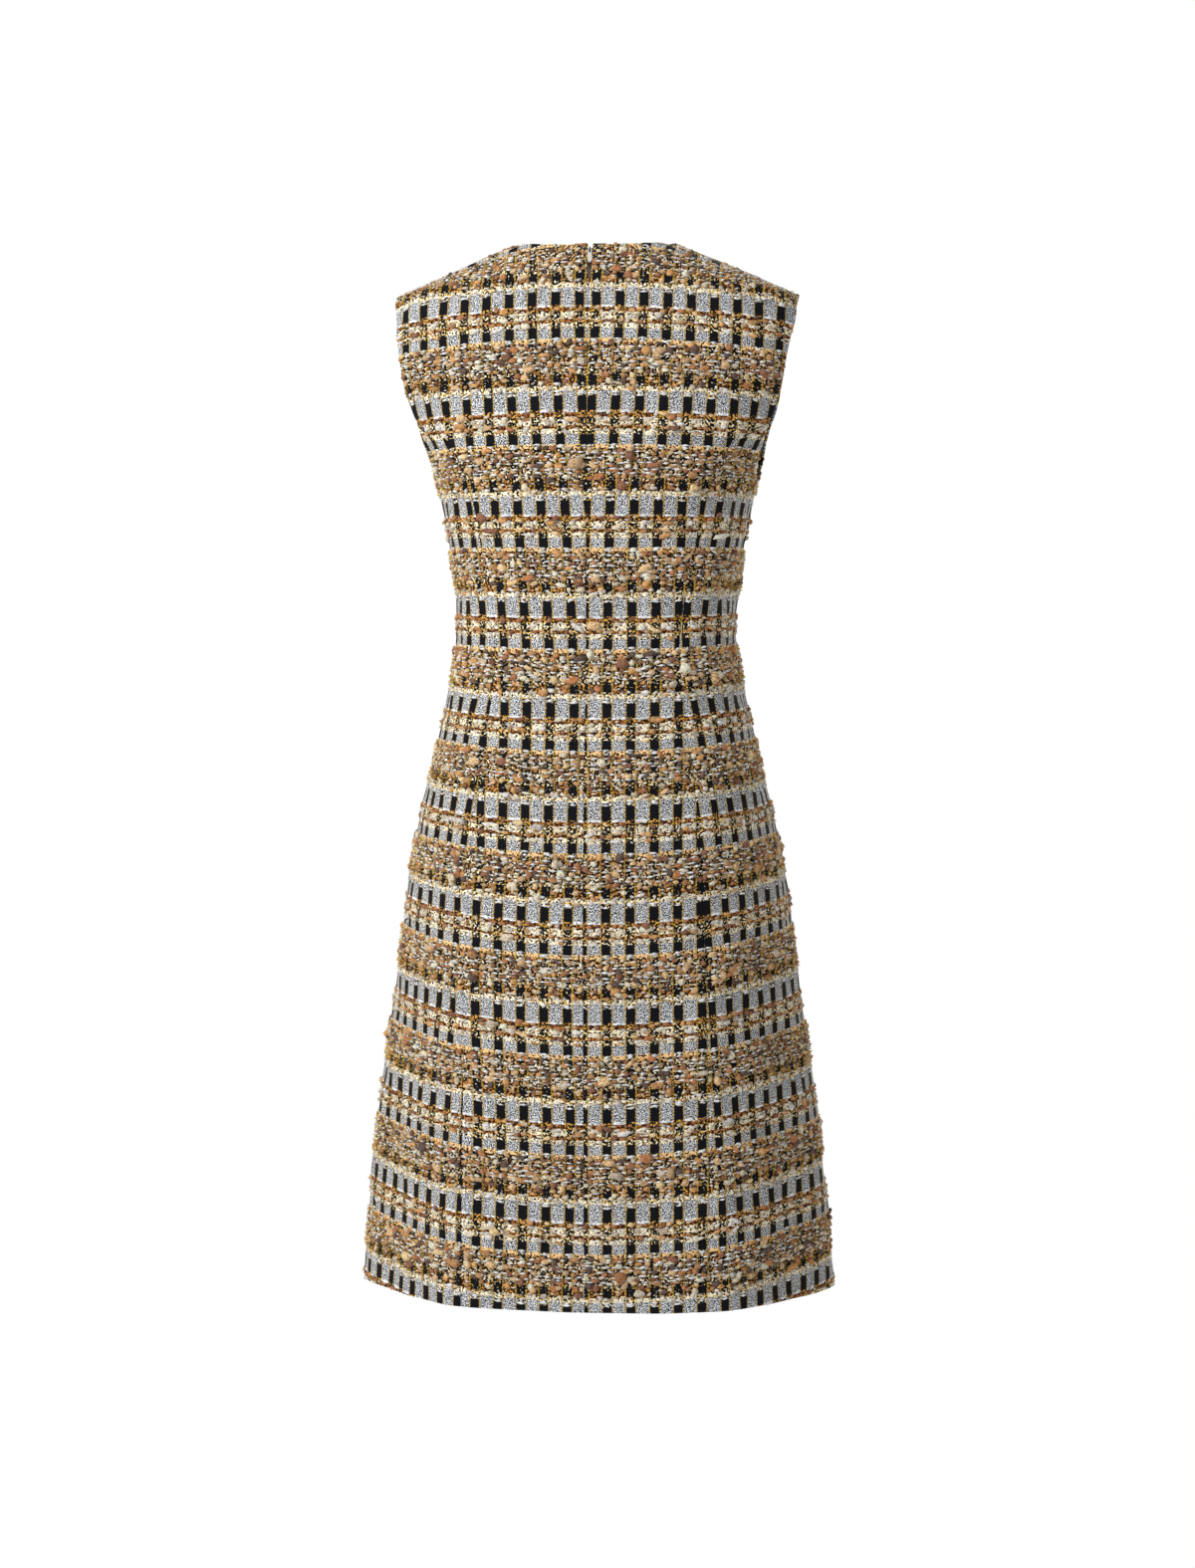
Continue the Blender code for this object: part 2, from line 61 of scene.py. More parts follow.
SLOT_HALF_WIDTH = 0.0022
SLOT_OPEN_Z = -0.025
SLOT_CLOSED_Z = -0.043
LEVEL_Z = -0.120
PRINCESS_TOP_Z = -0.157

Section = namedtuple("Section", "z half_width back front back_square front_square")
SECTIONS = [
    # shoulder tip, chest, underarm, bust, waist, hip, skirt, hem
    Section(-0.0455, 0.1840, 0.0810, 0.0730, 2.30, 2.20),
    Section(-0.0850, 0.1915, 0.0910, 0.0835, 2.35, 2.25),
    Section(-0.1220, 0.1865, 0.0975, 0.0945, 2.40, 2.30),
    Section(-0.1780, 0.1590, 0.1035, 0.1100, 2.50, 2.40),
    Section(-0.2130, 0.1435, 0.1050, 0.1190, 2.55, 2.50),
    Section(-0.2600, 0.1345, 0.1055, 0.1245, 2.65, 2.60),
    Section(-0.3050, 0.1275, 0.1050, 0.1165, 2.80, 2.60),
    Section(-0.3500, 0.1250, 0.1055, 0.1050, 2.90, 2.50),
    Section(-0.4000, 0.1325, 0.1110, 0.1035, 2.80, 2.40),
    Section(-0.4600, 0.1456, 0.1220, 0.1080, 2.65, 2.35),
    Section(-0.5200, 0.1603, 0.1310, 0.1130, 2.45, 2.30),
    Section(-0.5900, 0.1737, 0.1355, 0.1165, 2.25, 2.20),
    Section(-0.6800, 0.1848, 0.1360, 0.1190, 2.10, 2.10),
    Section(-0.8000, 0.2015, 0.1340, 0.1215, 2.00, 2.00),
    Section(-0.9550, 0.2155, 0.1320, 0.1240, 1.95, 1.95),
]
NECK_RING = Section(0.0, NECK_HALF_WIDTH, 0.0660, 0.0600, 2.20, 2.10)
Seam = namedtuple("Seam", "z x")
PRINCESS = {
    1: [
        Seam(-0.1800, 0.1260),
        Seam(-0.2050, 0.1110),
        Seam(-0.2400, 0.1010),
        Seam(-0.2900, 0.0920),
        Seam(-0.3400, 0.0830),
        Seam(-0.3700, 0.0815),
        Seam(-0.4280, 0.0880),
        Seam(-0.5100, 0.0985),
        Seam(-0.6150, 0.1055),
        Seam(-0.9550, 0.1090),
    ],
    -1: [
        Seam(-0.1800, 0.1290),
        Seam(-0.2100, 0.1080),
        Seam(-0.2550, 0.0930),
        Seam(-0.3050, 0.0840),
        Seam(-0.3500, 0.0790),
        Seam(-0.4300, 0.0870),
        Seam(-0.5200, 0.0970),
        Seam(-0.6200, 0.1040),
        Seam(-0.9550, 0.1120),
    ],
}
FLUTE_START_Z = -0.560
FLUTE_HEIGHT = 0.0032
FLUTE_COUNT = 3

# The weave
COLUMN = 0.0211
REPEAT = 0.0897
FIRST_ROW = 0.0430

# Where the warp crosses the centre back seam: how far it has moved sideways from the neck down
Shift = namedtuple("Shift", "z left right")
CENTRE_SHIFT = [
    Shift(-0.063, -0.0079, -0.0070),
    Shift(-0.152, -0.0035, -0.0044),
    Shift(-0.242, 0.0026, 0.0000),
    Shift(-0.331, 0.0079, 0.0018),
    Shift(-0.421, 0.0114, 0.0018),
    Shift(-0.542, 0.0114, 0.0009),
    Shift(-0.600, 0.0079, 0.0009),
    Shift(-0.691, 0.0071, 0.0000),
    Shift(-0.783, 0.0097, 0.0000),
    Shift(-0.955, 0.0061, 0.0000),
]
# How far the weave's rows rise towards the sides
Lift = namedtuple("Lift", "z height")
ROW_LIFT = [
    Lift(-0.020, -0.014),
    Lift(-0.063, -0.013),
    Lift(-0.152, -0.005),
    Lift(-0.242, 0.000),
    Lift(-0.330, 0.005),
    Lift(-0.420, 0.011),
    Lift(-0.520, 0.013),
    Lift(-0.610, 0.016),
    Lift(-0.700, 0.014),
    Lift(-0.955, 0.012),
]
LIFT_AT_X = 0.18
# How far the rows lie above their even spacing over the shoulder blades
ROW_RISE = [
    Lift(0.000, 0.0085),
    Lift(-0.063, 0.0075),
    Lift(-0.110, 0.0050),
    Lift(-0.152, 0.0026),
    Lift(-0.242, 0.0006),
    Lift(-0.400, 0.0000),
    Lift(-0.955, 0.0000),
]

Fold = namedtuple("Fold", "side turn z end_turn end_z width height")
FOLDS = [
    # back: blades, waist drags and skirt flutes
    Fold(1, 22, -0.150, 30, -0.290, 0.022, 0.0016),
    Fold(1, -20, -0.140, -27, -0.300, 0.024, 0.0013),
    Fold(1, 8, -0.345, 40, -0.362, 0.012, -0.0012),
    Fold(1, -12, -0.368, -44, -0.350, 0.011, -0.0013),
    Fold(1, 56, -0.330, 84, -0.300, 0.011, -0.0018),
    Fold(1, -58, -0.322, -85, -0.296, 0.012, -0.0015),
    Fold(1, 60, -0.372, 84, -0.392, 0.013, -0.0012),
    Fold(1, -60, -0.380, -86, -0.405, 0.012, -0.0014),
    Fold(1, 14, -0.560, 16, -0.955, 0.022, -0.0022),
    Fold(1, -17, -0.600, -15, -0.955, 0.024, -0.0018),
    Fold(1, 33, -0.520, 36, -0.955, 0.018, 0.0024),
    Fold(1, -31, -0.550, -35, -0.955, 0.019, 0.0021),
    Fold(1, 58, -0.600, 63, -0.955, 0.028, -0.0030),
    Fold(1, -60, -0.560, -62, -0.955, 0.027, -0.0026),
    # front: from the bust to the waist, and the skirt
    Fold(-1, 30, -0.250, 62, -0.330, 0.013, -0.0014),
    Fold(-1, -33, -0.262, -66, -0.318, 0.012, -0.0017),
    Fold(-1, 0, -0.350, 26, -0.372, 0.012, -0.0010),
    Fold(-1, -4, -0.385, -30, -0.372, 0.013, -0.0011),
    Fold(-1, 10, -0.570, 12, -0.955, 0.026, -0.0021),
    Fold(-1, -19, -0.520, -17, -0.955, 0.022, -0.0019),
    Fold(-1, 36, -0.560, 38, -0.955, 0.020, 0.0021),
    Fold(-1, -38, -0.600, -41, -0.955, 0.021, 0.0024),
    Fold(-1, 62, -0.540, 60, -0.955, 0.026, -0.0026),
    Fold(-1, -64, -0.590, -66, -0.955, 0.028, -0.0023),
]
FOLD_RADIUS = 0.16
FOLD_FADE = 0.35

# How finely the sheets are divided
RING_SAMPLES = 600
ROW_STEP = 0.0048
NECK_COLUMNS = 20
SHOULDER_COLUMNS = 14
SIDE_COLUMNS = 24
UPPER_ROWS = 34
SIDE_UPPER_ROWS = 20
SIDE_LEVEL_Z = -0.240
# How the cloth is drawn in at its seams and under the shoulder, and closed at the side seams
SEAM_DRAW = 0.0006
SEAM_DRAW_WIDTH = 0.0045
SHOULDER_DRAW = 0.0014
SHOULDER_DRAW_WIDTH = 0.015
SIDE_SEAM_HALF_GAP = 0.0001
SIDE_SEAM_EASE = 0.009
# How much closer the weave's columns lie on the side panels, and where their first one is
SIDE_GRAIN = 1.15
SIDE_PHASE = 0.25 * COLUMN
BAKE_MARGIN = 0.01
HANDS = ((1, "left"), (-1, "right"))


def smooth_curve(points):
    """A function through the points (z, value) with z falling, smooth and with no overshoot."""
    depths = np.array([-p[0] for p in points])
    values = np.array([p[1] for p in points], float)
    steps = np.diff(depths)
    slopes = np.diff(values) / steps
    tangents = np.zeros(len(values))
    tangents[0], tangents[-1] = slopes[0], slopes[-1]
    product = slopes[:-1] * slopes[1:]
    total = np.where(product > 0, slopes[:-1] + slopes[1:], 1.0)
    tangents[1:-1] = np.where(product > 0, 2 * product / total, 0.0)

    def value_at(z):
        depth = np.clip(-np.asarray(z, float), depths[0], depths[-1])
        k = np.clip(np.searchsorted(depths, depth, side="right") - 1, 0, len(steps) - 1)
        t = (depth - depths[k]) / steps[k]
        blend = t * t * (3 - 2 * t)
        bend = steps[k] * (t**3 - 2 * t**2 + t) * tangents[k]
        unbend = steps[k] * (t**3 - t**2) * tangents[k + 1]
        return values[k] * (1 - blend) + values[k + 1] * blend + bend + unbend

    return value_at


def smoothstep(t):
    t = np.clip(t, 0.0, 1.0)
    return t * t * (3 - 2 * t)


BODY = {n: smooth_curve([(r.z, getattr(r, n)) for r in SECTIONS]) for n in Section._fields[1:]}
PRINCESS_X = {side: smooth_curve(seam) for side, seam in PRINCESS.items()}
SHIFT = {
    1: smooth_curve([(s.z, s.left) for s in CENTRE_SHIFT]),
    -1: smooth_curve([(s.z, s.right) for s in CENTRE_SHIFT]),
}
LIFT = smooth_curve(ROW_LIFT)
RISE = smooth_curve(ROW_RISE)


def section_value(name, z):
    """A column of SECTIONS at height z. Above the shoulder tip it runs straight to the neck's ring."""
    share = np.clip(z / SHOULDER_TIP_Z, 0.0, 1.0)
    above = getattr(NECK_RING, name) * (1 - share) + getattr(SECTIONS[0], name) * share
    return np.where(z < SHOULDER_TIP_Z, BODY[name](z), above)


def ring(side, z):
    """(half width, depth, squareness) of the half ring behind the side seams (side 1) or before them."""
    name = "back" if side > 0 else "front"
    return section_value("half_width", z), section_value(name, z), section_value(name + "_square", z)


def form(side, turn, z):
    """A point of the form's inner face. turn is 0 on the centre line and pi/2 on the side seam."""
    half_width, depth, square = ring(side, z)
    x = half_width * np.clip(np.sin(turn), 0, 1) ** (2 / square)
    y = side * depth * np.clip(np.cos(turn), 0, 1) ** (2 / square)
    reach = np.maximum(np.hypot(x, y), 1e-9)
    growth = smoothstep((FLUTE_START_Z - z) / (FLUTE_START_Z - HEM_Z))
    flute = FLUTE_HEIGHT * growth * np.cos(2 * FLUTE_COUNT * turn - math.pi)
    return np.stack([x * (1 + flute / reach), y * (1 + flute / reach), z + 0 * x], -1)


def turn_at(side, x, z):
    half_width, _, square = ring(side, z)
    return np.arcsin(np.clip(x / half_width, 0.0, 1.0) ** (square / 2))


def armhole_turn(side, z):
    middle = (SHOULDER_TIP_Z + UNDERARM_Z) / 2
    share = np.minimum(np.abs(z - middle) / (SHOULDER_TIP_Z - middle), 1.0)
    stand = ARMHOLE_DEPTH[side] * (1 - share**ARMHOLE_ROUND) ** (1 / ARMHOLE_ROUND)
    _, depth, square = ring(side, z)
    return np.arccos(np.minimum(stand / depth, 1.0) ** (square / 2))


def edge_turn(side, z):
    """The outer edge of a centre panel: down the armhole, then down the princess seam."""
    first = PRINCESS[side][0].z
    below = turn_at(side, PRINCESS_X[side](np.minimum(z, first)), z)
    share = smoothstep((PRINCESS_TOP_Z - z) / (PRINCESS_TOP_Z - first))
    start = armhole_turn(side, PRINCESS_TOP_Z)
    seam = start * (1 - share) + below * share
    return np.where(z > PRINCESS_TOP_Z, armhole_turn(side, z), seam)


def path_lengths(points):
    steps = np.linalg.norm(np.diff(points, axis=0), axis=1)
    return np.concatenate([[0.0], np.cumsum(steps)])


def ring_places(side, z, first, last, shares, inset=(0.0, 0.0)):
    """(turns, distances from the centre line) of places that lie at shares of the way round a ring."""
    turns = np.linspace(0.0, math.pi / 2, RING_SAMPLES)
    lengths = path_lengths(form(side, turns, np.full_like(turns, z)))
    low = np.interp(first, turns, lengths) + inset[0]
    high = np.interp(last, turns, lengths) - inset[1]
    places = low + (high - low) * shares
    return np.interp(places, lengths, turns), places


def neckline(side, angle):
    """A point (x, z) of the neckline, an oval from above, laid on the form. angle 0 is the centre."""
    x = NECK_HALF_WIDTH * math.sin(angle) ** (2 / NECK_ROUND)
    y = NECK_DEPTH[side] * math.cos(angle) ** (2 / NECK_ROUND)
    heights = np.linspace(0.0, LEVEL_Z, 1200)
    depths = np.abs(form(side, turn_at(side, x, heights), heights)[:, 1])
    return x, float(np.interp(y, depths, heights))


def edge_shares(count):
    """Shares from 0 to 1 that lie closer together near both ends."""
    even = np.linspace(0, 1, count + 1)
    return 0.55 * even + 0.45 * (1 - np.cos(math.pi * even)) / 2


def slot_half_width(z):
    share = smoothstep((SLOT_OPEN_Z - z) / (SLOT_OPEN_Z - SLOT_CLOSED_Z))
    return SLOT_HALF_WIDTH * (1 - share) + SEAM_GAP / 2 * share


Half = namedtuple("Half", "turn z across down")


def row_levels(top, bottom):
    count = round((top - bottom) / ROW_STEP)
    return np.linspace(top, bottom, count + 1)[1:]


def row_shift(x, z):
    return LIFT(z) * (x / LIFT_AT_X) ** 2 + RISE(z)


def centre_half(side, first_x):
    """Half a centre panel: turn, height and grain of each place, column by column."""
    columns = NECK_COLUMNS + SHOULDER_COLUMNS
    shares = edge_shares(columns)
    first_angle = math.asin((first_x(0.0) / NECK_HALF_WIDTH) ** (NECK_ROUND / 2))
    angles = np.linspace(first_angle, math.pi / 2, 80)
    neck = np.array([neckline(side, a) for a in angles])
    points = form(side, turn_at(side, neck[:, 0], neck[:, 1]), neck[:, 1])
    lengths = path_lengths(points)
    neck_shares = shares[: NECK_COLUMNS + 1] / shares[NECK_COLUMNS]
    tops = [[np.interp(s * lengths[-1], lengths, neck[:, k]) for k in (0, 1)] for s in neck_shares]
    for share in (shares[NECK_COLUMNS + 1 :] - shares[NECK_COLUMNS]) / (1 - shares[NECK_COLUMNS]):
        x = NECK_HALF_WIDTH + (SHOULDER_TIP_X - NECK_HALF_WIDTH) * share
        tops.append([x, SHOULDER_TIP_Z * share])

    probe = np.linspace(0.0, LEVEL_Z, 90)
    level_x = np.zeros((len(probe), columns + 1))
    for k, z in enumerate(np.minimum(probe, SHOULDER_TIP_Z)):
        turns, _ = ring_places(side, z, turn_at(side, first_x(z), z), edge_turn(side, z), shares)
        level_x[k] = form(side, turns, np.full_like(turns, z))[:, 0]

    lower = row_levels(LEVEL_Z, HEM_Z)
    rings = []
    for z in np.concatenate([[LEVEL_Z], lower]):
        inset = (0.0, SEAM_GAP / 2 if z < PRINCESS_TOP_Z else 0.0)
        rings.append(ring_places(side, z, turn_at(side, first_x(z), z), edge_turn(side, z), shares, inset))
    ring_turns = np.array([r[0] for r in rings])
    ring_across = np.array([r[1] for r in rings])

    turn, height, across, down = [], [], [], []
    for i, (top_x, top_z) in enumerate(tops):
        z = top_z + (LEVEL_Z - top_z) * np.linspace(0, 1, 160) ** 2
        low_x = np.interp(-z, -probe, level_x[:, i])
        share = smoothstep((top_z - z) / (top_z - LEVEL_Z))
        turns = turn_at(side, top_x * (1 - share) + low_x * share, z)
        if i == 0:
            turns = turn_at(side, first_x(z), z)
        if i == columns:
            turns = armhole_turn(side, np.minimum(z, SHOULDER_TIP_Z))
        lengths = path_lengths(form(side, turns, z))
        pick = edge_shares(UPPER_ROWS) * lengths[-1]
        upper_z = np.interp(pick, lengths, z)
        upper_turn = np.interp(pick, lengths, turns)
        upper_x = form(side, upper_turn, upper_z)[:, 0]
        spread = ring_across[0, i] - upper_x[-1]
        turn.append(np.concatenate([upper_turn, ring_turns[1:, i]]))
        height.append(np.concatenate([upper_z, lower]))
        across.append(np.concatenate([upper_x + spread, ring_across[1:, i]]))
        x = form(side, turn[-1], height[-1])[:, 0]
        risen = row_shift(x, height[-1])
        below = -height[-1] + risen
        below[: UPPER_ROWS + 1] = -LEVEL_Z + risen[: UPPER_ROWS + 1] + pick - lengths[-1]
        down.append(below)
    return Half(*(np.array(a) for a in (turn, height, across, down)))


def side_half(side):
    """A side panel, from the princess seam to the side seam and from the armhole to the hem."""
    shares = edge_shares(SIDE_COLUMNS)
    probe = np.linspace(PRINCESS_TOP_Z, HEM_Z, 700)
    gap = (SEAM_GAP / 2, SEAM_GAP / 2)
    rings = [ring_places(side, z, edge_turn(side, z), math.pi / 2, shares, gap) for z in probe]
    turns = np.array([r[0] for r in rings])
    places = np.array([r[1] for r in rings])
    over = probe > UNDERARM_Z
    turn, height, across, down = [], [], [], []
    low = row_levels(SIDE_LEVEL_Z, HEM_Z)
    for i in range(SIDE_COLUMNS + 1):
        open_by = armhole_turn(side, probe[over]) - turns[over, i]
        top = PRINCESS_TOP_Z if i == 0 else float(np.interp(0.0, open_by, probe[over]))
        upper = top + (SIDE_LEVEL_Z - top) * edge_shares(SIDE_UPPER_ROWS)
        z = np.concatenate([upper, low])
        middle = (places[:, 0] + places[:, -1]) / 2
        turn.append(np.interp(-z, -probe, turns[:, i]))
        height.append(z)
        across.append(np.interp(-z, -probe, places[:, i] - middle))
        x = form(side, turn[-1], z)[:, 0]
        down.append(-z + row_shift(x, z))
    return Half(*(np.array(a) for a in (turn, height, across, down)))


def fold_height(side, turn, z):
    """How far the folds stand out, at a turn counted towards the wearer's left."""
    across = turn * FOLD_RADIUS
    total = np.zeros_like(across)
    for fold in FOLDS:
        if fold.side != side:
            continue
        start = np.array([math.radians(fold.turn) * FOLD_RADIUS, fold.z])
        along = np.array([math.radians(fold.end_turn) * FOLD_RADIUS, fold.end_z]) - start
        dx, dz = across - start[0], z - start[1]
        share = np.clip((dx * along[0] + dz * along[1]) / along.dot(along), 0, 1)
        away = (dx - share * along[0]) ** 2 + (dz - share * along[1]) ** 2
        runs_out = fold.end_z <= HEM_Z
        fade = smoothstep(share / FOLD_FADE) * (1.0 if runs_out else smoothstep((1 - share) / FOLD_FADE))
        total += fold.height * fade * np.exp(-away / fold.width**2)
    return total


def waviness(side, turn, z):
    """The slight unevenness of soft cloth, the same from every panel that meets there."""
    a = turn * FOLD_RADIUS
    return 0.00045 * (
        np.sin(96 * a + 41 * z + 1.3 * side)
        + np.sin(-57 * a + 88 * z + 2.1)
        + 0.8 * np.sin(131 * a - 67 * z + 0.7 * side)
    )


Panel = namedtuple("Panel", "points normals across down")


def grid_normals(points):
    """Outward normals of a grid of points."""
    du = np.gradient(points, axis=0)
    dv = np.gradient(points, axis=1)
    normals = np.cross(du, dv)
    normals /= np.maximum(np.linalg.norm(normals, axis=2, keepdims=True), 1e-12)
    centre = points * np.array([1.0, 1.0, 0.0])
    if (normals * centre).sum() < 0:
        normals = -normals
    return normals


def lay(side, hand, half, phase, edges):
    """Half a panel laid on the form at its outer face, with folds and with its seams drawn in."""
    points = form(side, half.turn, half.z)
    points[..., 0] *= hand
    points[..., 1] += side * SEAM_GAP / 2
    normals = grid_normals(points)
    turn = hand * half.turn
    out = WALL + fold_height(side, turn, half.z) + waviness(side, turn, half.z)
    below = below_shoulder(points[..., 0], half.z)
    out = out - SHOULDER_DRAW * np.exp(-((below / SHOULDER_DRAW_WIDTH) ** 2))
    for column, depth in edges:
        steps = np.abs(half.across - half.across[column : column + 1 or None])
        drawn = np.exp(-((steps / SEAM_DRAW_WIDTH) ** 2))
        if column == -1:
            drawn = drawn * smoothstep((PRINCESS_TOP_Z + 0.01 - half.z) / 0.03)
        out = out - depth * drawn
    return Panel(points + normals * out[..., None], normals, half.across * hand + phase, half.down)


def closed_at_side_seam(side, half, panel):
    """The panel with its side seam edge brought up to the seam's line, eased out into the cloth."""
    points = panel.points.copy()
    astray = points[-1:, :, 1] - side * SIDE_SEAM_HALF_GAP
    steps = np.abs(half.across - half.across[-1:])
    points[..., 1] -= astray * np.exp(-((steps / SIDE_SEAM_EASE) ** 2))
    return panel._replace(points=points)


def below_shoulder(x, z):
    """How far a place lies under the shoulder seam's line."""
    share = np.clip((np.abs(x) - NECK_HALF_WIDTH) / (SHOULDER_TIP_X - NECK_HALF_WIDTH), 0.0, 1.0)
    return np.maximum(SHOULDER_TIP_Z * share - z, 0.0)


def joined(right, left):
    """One panel from its two mirrored halves, which share the fold line."""
    return Panel(*(np.concatenate([a[:0:-1], b]) for a, b in zip(right, left)))


def srgb(code):
    """A colour from its usual six-figure code."""
    values = [int(code[i : i + 2], 16) / 255 for i in (0, 2, 4)]
    return tuple(v / 12.92 if v <= 0.04045 else ((v + 0.055) / 1.055) ** 2.4 for v in values)


def add_object(name, data):
    made = bpy.data.objects.new(name, data)
    bpy.context.scene.collection.objects.link(made)
    return made


class Shader:
    """Short ways to add and link the nodes of one material."""

    def __init__(self, name):
        self.material = bpy.data.materials.new(name)
        self.material.use_nodes = True
        self.tree = self.material.node_tree
        self.surface = self.tree.nodes["Principled BSDF"]

    def set(self, socket, value):
        if isinstance(value, bpy.types.NodeSocket):
            self.tree.links.new(value, socket)
        elif isinstance(value, tuple) and len(value) == 3 and socket.type == "RGBA":
            socket.default_value = (*value, 1.0)
        else:
            socket.default_value = value

    def node(self, kind, inputs=None, **settings):
        made = self.tree.nodes.new(kind)
        for key, value in settings.items():
            setattr(made, key, value)
        for key, value in (inputs or {}).items():
            self.set(made.inputs[key], value)
        return made

    def math(self, operation, a, b=0.0, c=0.0):
        made = self.node("ShaderNodeMath", operation=operation)
        for socket, value in zip(made.inputs, (a, b, c)):
            self.set(socket, value)
        return made.outputs[0]

    def mix(self, share, a, b):
        made = self.node("ShaderNodeMix", data_type="RGBA")
        self.set(made.inputs[0], share)
        self.set(made.inputs[6], a)
        self.set(made.inputs[7], b)
        return made.outputs[2]

    def step(self, value, low, high):
        """0 below low, 1 above high, smooth between them."""
        made = self.node("ShaderNodeMapRange", interpolation_type="SMOOTHSTEP")
        for socket, given in zip(made.inputs, (value, low, high, 0.0, 1.0)):
            self.set(socket, given)
        return made.outputs[0]

    def bands(self, value, spans, unit):
        """1 inside any of the spans, 0 outside them."""
        total = 0.0
        for start, end in spans:
            rise = self.step(value, (start - 0.2) * unit, (start + 0.2) * unit)
            fall = self.step(value, (end - 0.2) * unit, (end + 0.2) * unit)
            total = self.math("ADD", self.math("SUBTRACT", rise, fall), total)
        return total

    def noise(self, vector, scale, detail=2.0, distortion=0.0):
        inputs = {"Vector": vector, "Scale": scale, "Detail": detail, "Distortion": distortion}
        return self.node("ShaderNodeTexNoise", inputs).outputs["Fac"]

    def swing(self, vector, scale):
        """Noise to either side of zero."""
        return self.math("SUBTRACT", self.noise(vector, scale), 0.5)

    def place(self):
        return self.node("ShaderNodeTexCoord").outputs["Object"]

    def bump(self, strength, distance, height):
        inputs = {"Strength": strength, "Distance": distance, "Height": height}
        return self.node("ShaderNodeBump", inputs).outputs[0]

    def finish(self, inputs):
        """The material, once its surface has these inputs."""
        for key, value in inputs.items():
            self.set(self.surface.inputs[key], value)
        return self.material

    def stripes(self, value, stops):
        """A ramp of hard-edged stripes: (start, colour) from 0 to 1."""
        made = self.node("ShaderNodeValToRGB", {"Fac": value})
        ramp = made.color_ramp
        ramp.interpolation = "CONSTANT"
        ramp.elements[0].position = stops[0][0]
        ramp.elements[0].color = (*stops[0][1], 1)
        ramp.elements.remove(ramp.elements[1])
        for start, colour in stops[1:]:
            ramp.elements.new(start).color = (*colour, 1)
        return made.outputs[0]


BLACK = srgb("0C0D12")
WHITE = srgb("F4F2EC")
COOL_WHITE = srgb("F0F3F8")
CREAM = srgb("F8ECCF")
TAN = srgb("D79B50")
CARAMEL = srgb("B8702C")
BROWN = srgb("7E441A")
DARK_BROWN = srgb("2A170B")
GOLD = srgb("D2A838")
DULL_GOLD = srgb("A98F4E")
PALE_GOLD = srgb("E8C860")
PALE_TAN = srgb("F0C78E")

# One repeat of the weave, in millimetres down it: the colour between the black columns and the one
# on them, and the share of dark that shows through each: dark thread on the columns, and between them
# dark brown thread mixed with painted shade in the gaps between the lumps
Row = namedtuple("Row", "start between column between_dark column_dark")
ROWS = [
    Row(0.0, CREAM, CREAM, 0.40, 0.45),
    Row(2.9, WHITE, WHITE, 0.50, 0.60),
    Row(6.5, WHITE, BLACK, 0.50, 1.00),
    Row(18.7, COOL_WHITE, TAN, 0.30, 0.62),
    Row(20.6, CARAMEL, TAN, 0.62, 0.60),
    Row(24.6, CREAM, CREAM, 0.42, 0.66),
    Row(31.2, CARAMEL, PALE_TAN, 0.62, 0.60),
    Row(34.6, CREAM, CREAM, 0.42, 0.66),
    Row(39.3, WHITE, BLACK, 0.50, 1.00),
    Row(47.8, PALE_TAN, WHITE, 0.40, 0.55),
    Row(51.2, PALE_TAN, CREAM, 0.66, 0.72),
    Row(57.0, CREAM, CREAM, 0.62, 0.68),
    Row(63.0, PALE_TAN, CREAM, 0.66, 0.72),
    Row(68.0, CREAM, CREAM, 0.58, 0.64),
    Row(72.0, CREAM, CREAM, 0.62, 0.68),
    Row(79.0, TAN, CREAM, 0.64, 0.88),
    Row(87.7, CREAM, CREAM, 0.40, 0.55),
]
# Where the black columns run unbroken, and where their neighbours are speckled
FINE_ROWS = [(6.5, 18.7), (39.3, 47.6)]
MELANGE_ROWS = [(2.2, 18.7), (39.3, 48.0)]
# Millimetres from a black column's middle to its soft edge and to the gold, and the gold's own spacing
BLACK_EDGE = (3.8, 4.4)
GOLD_FROM_COLUMN = 4.7
GOLD_SPACING = 2.7


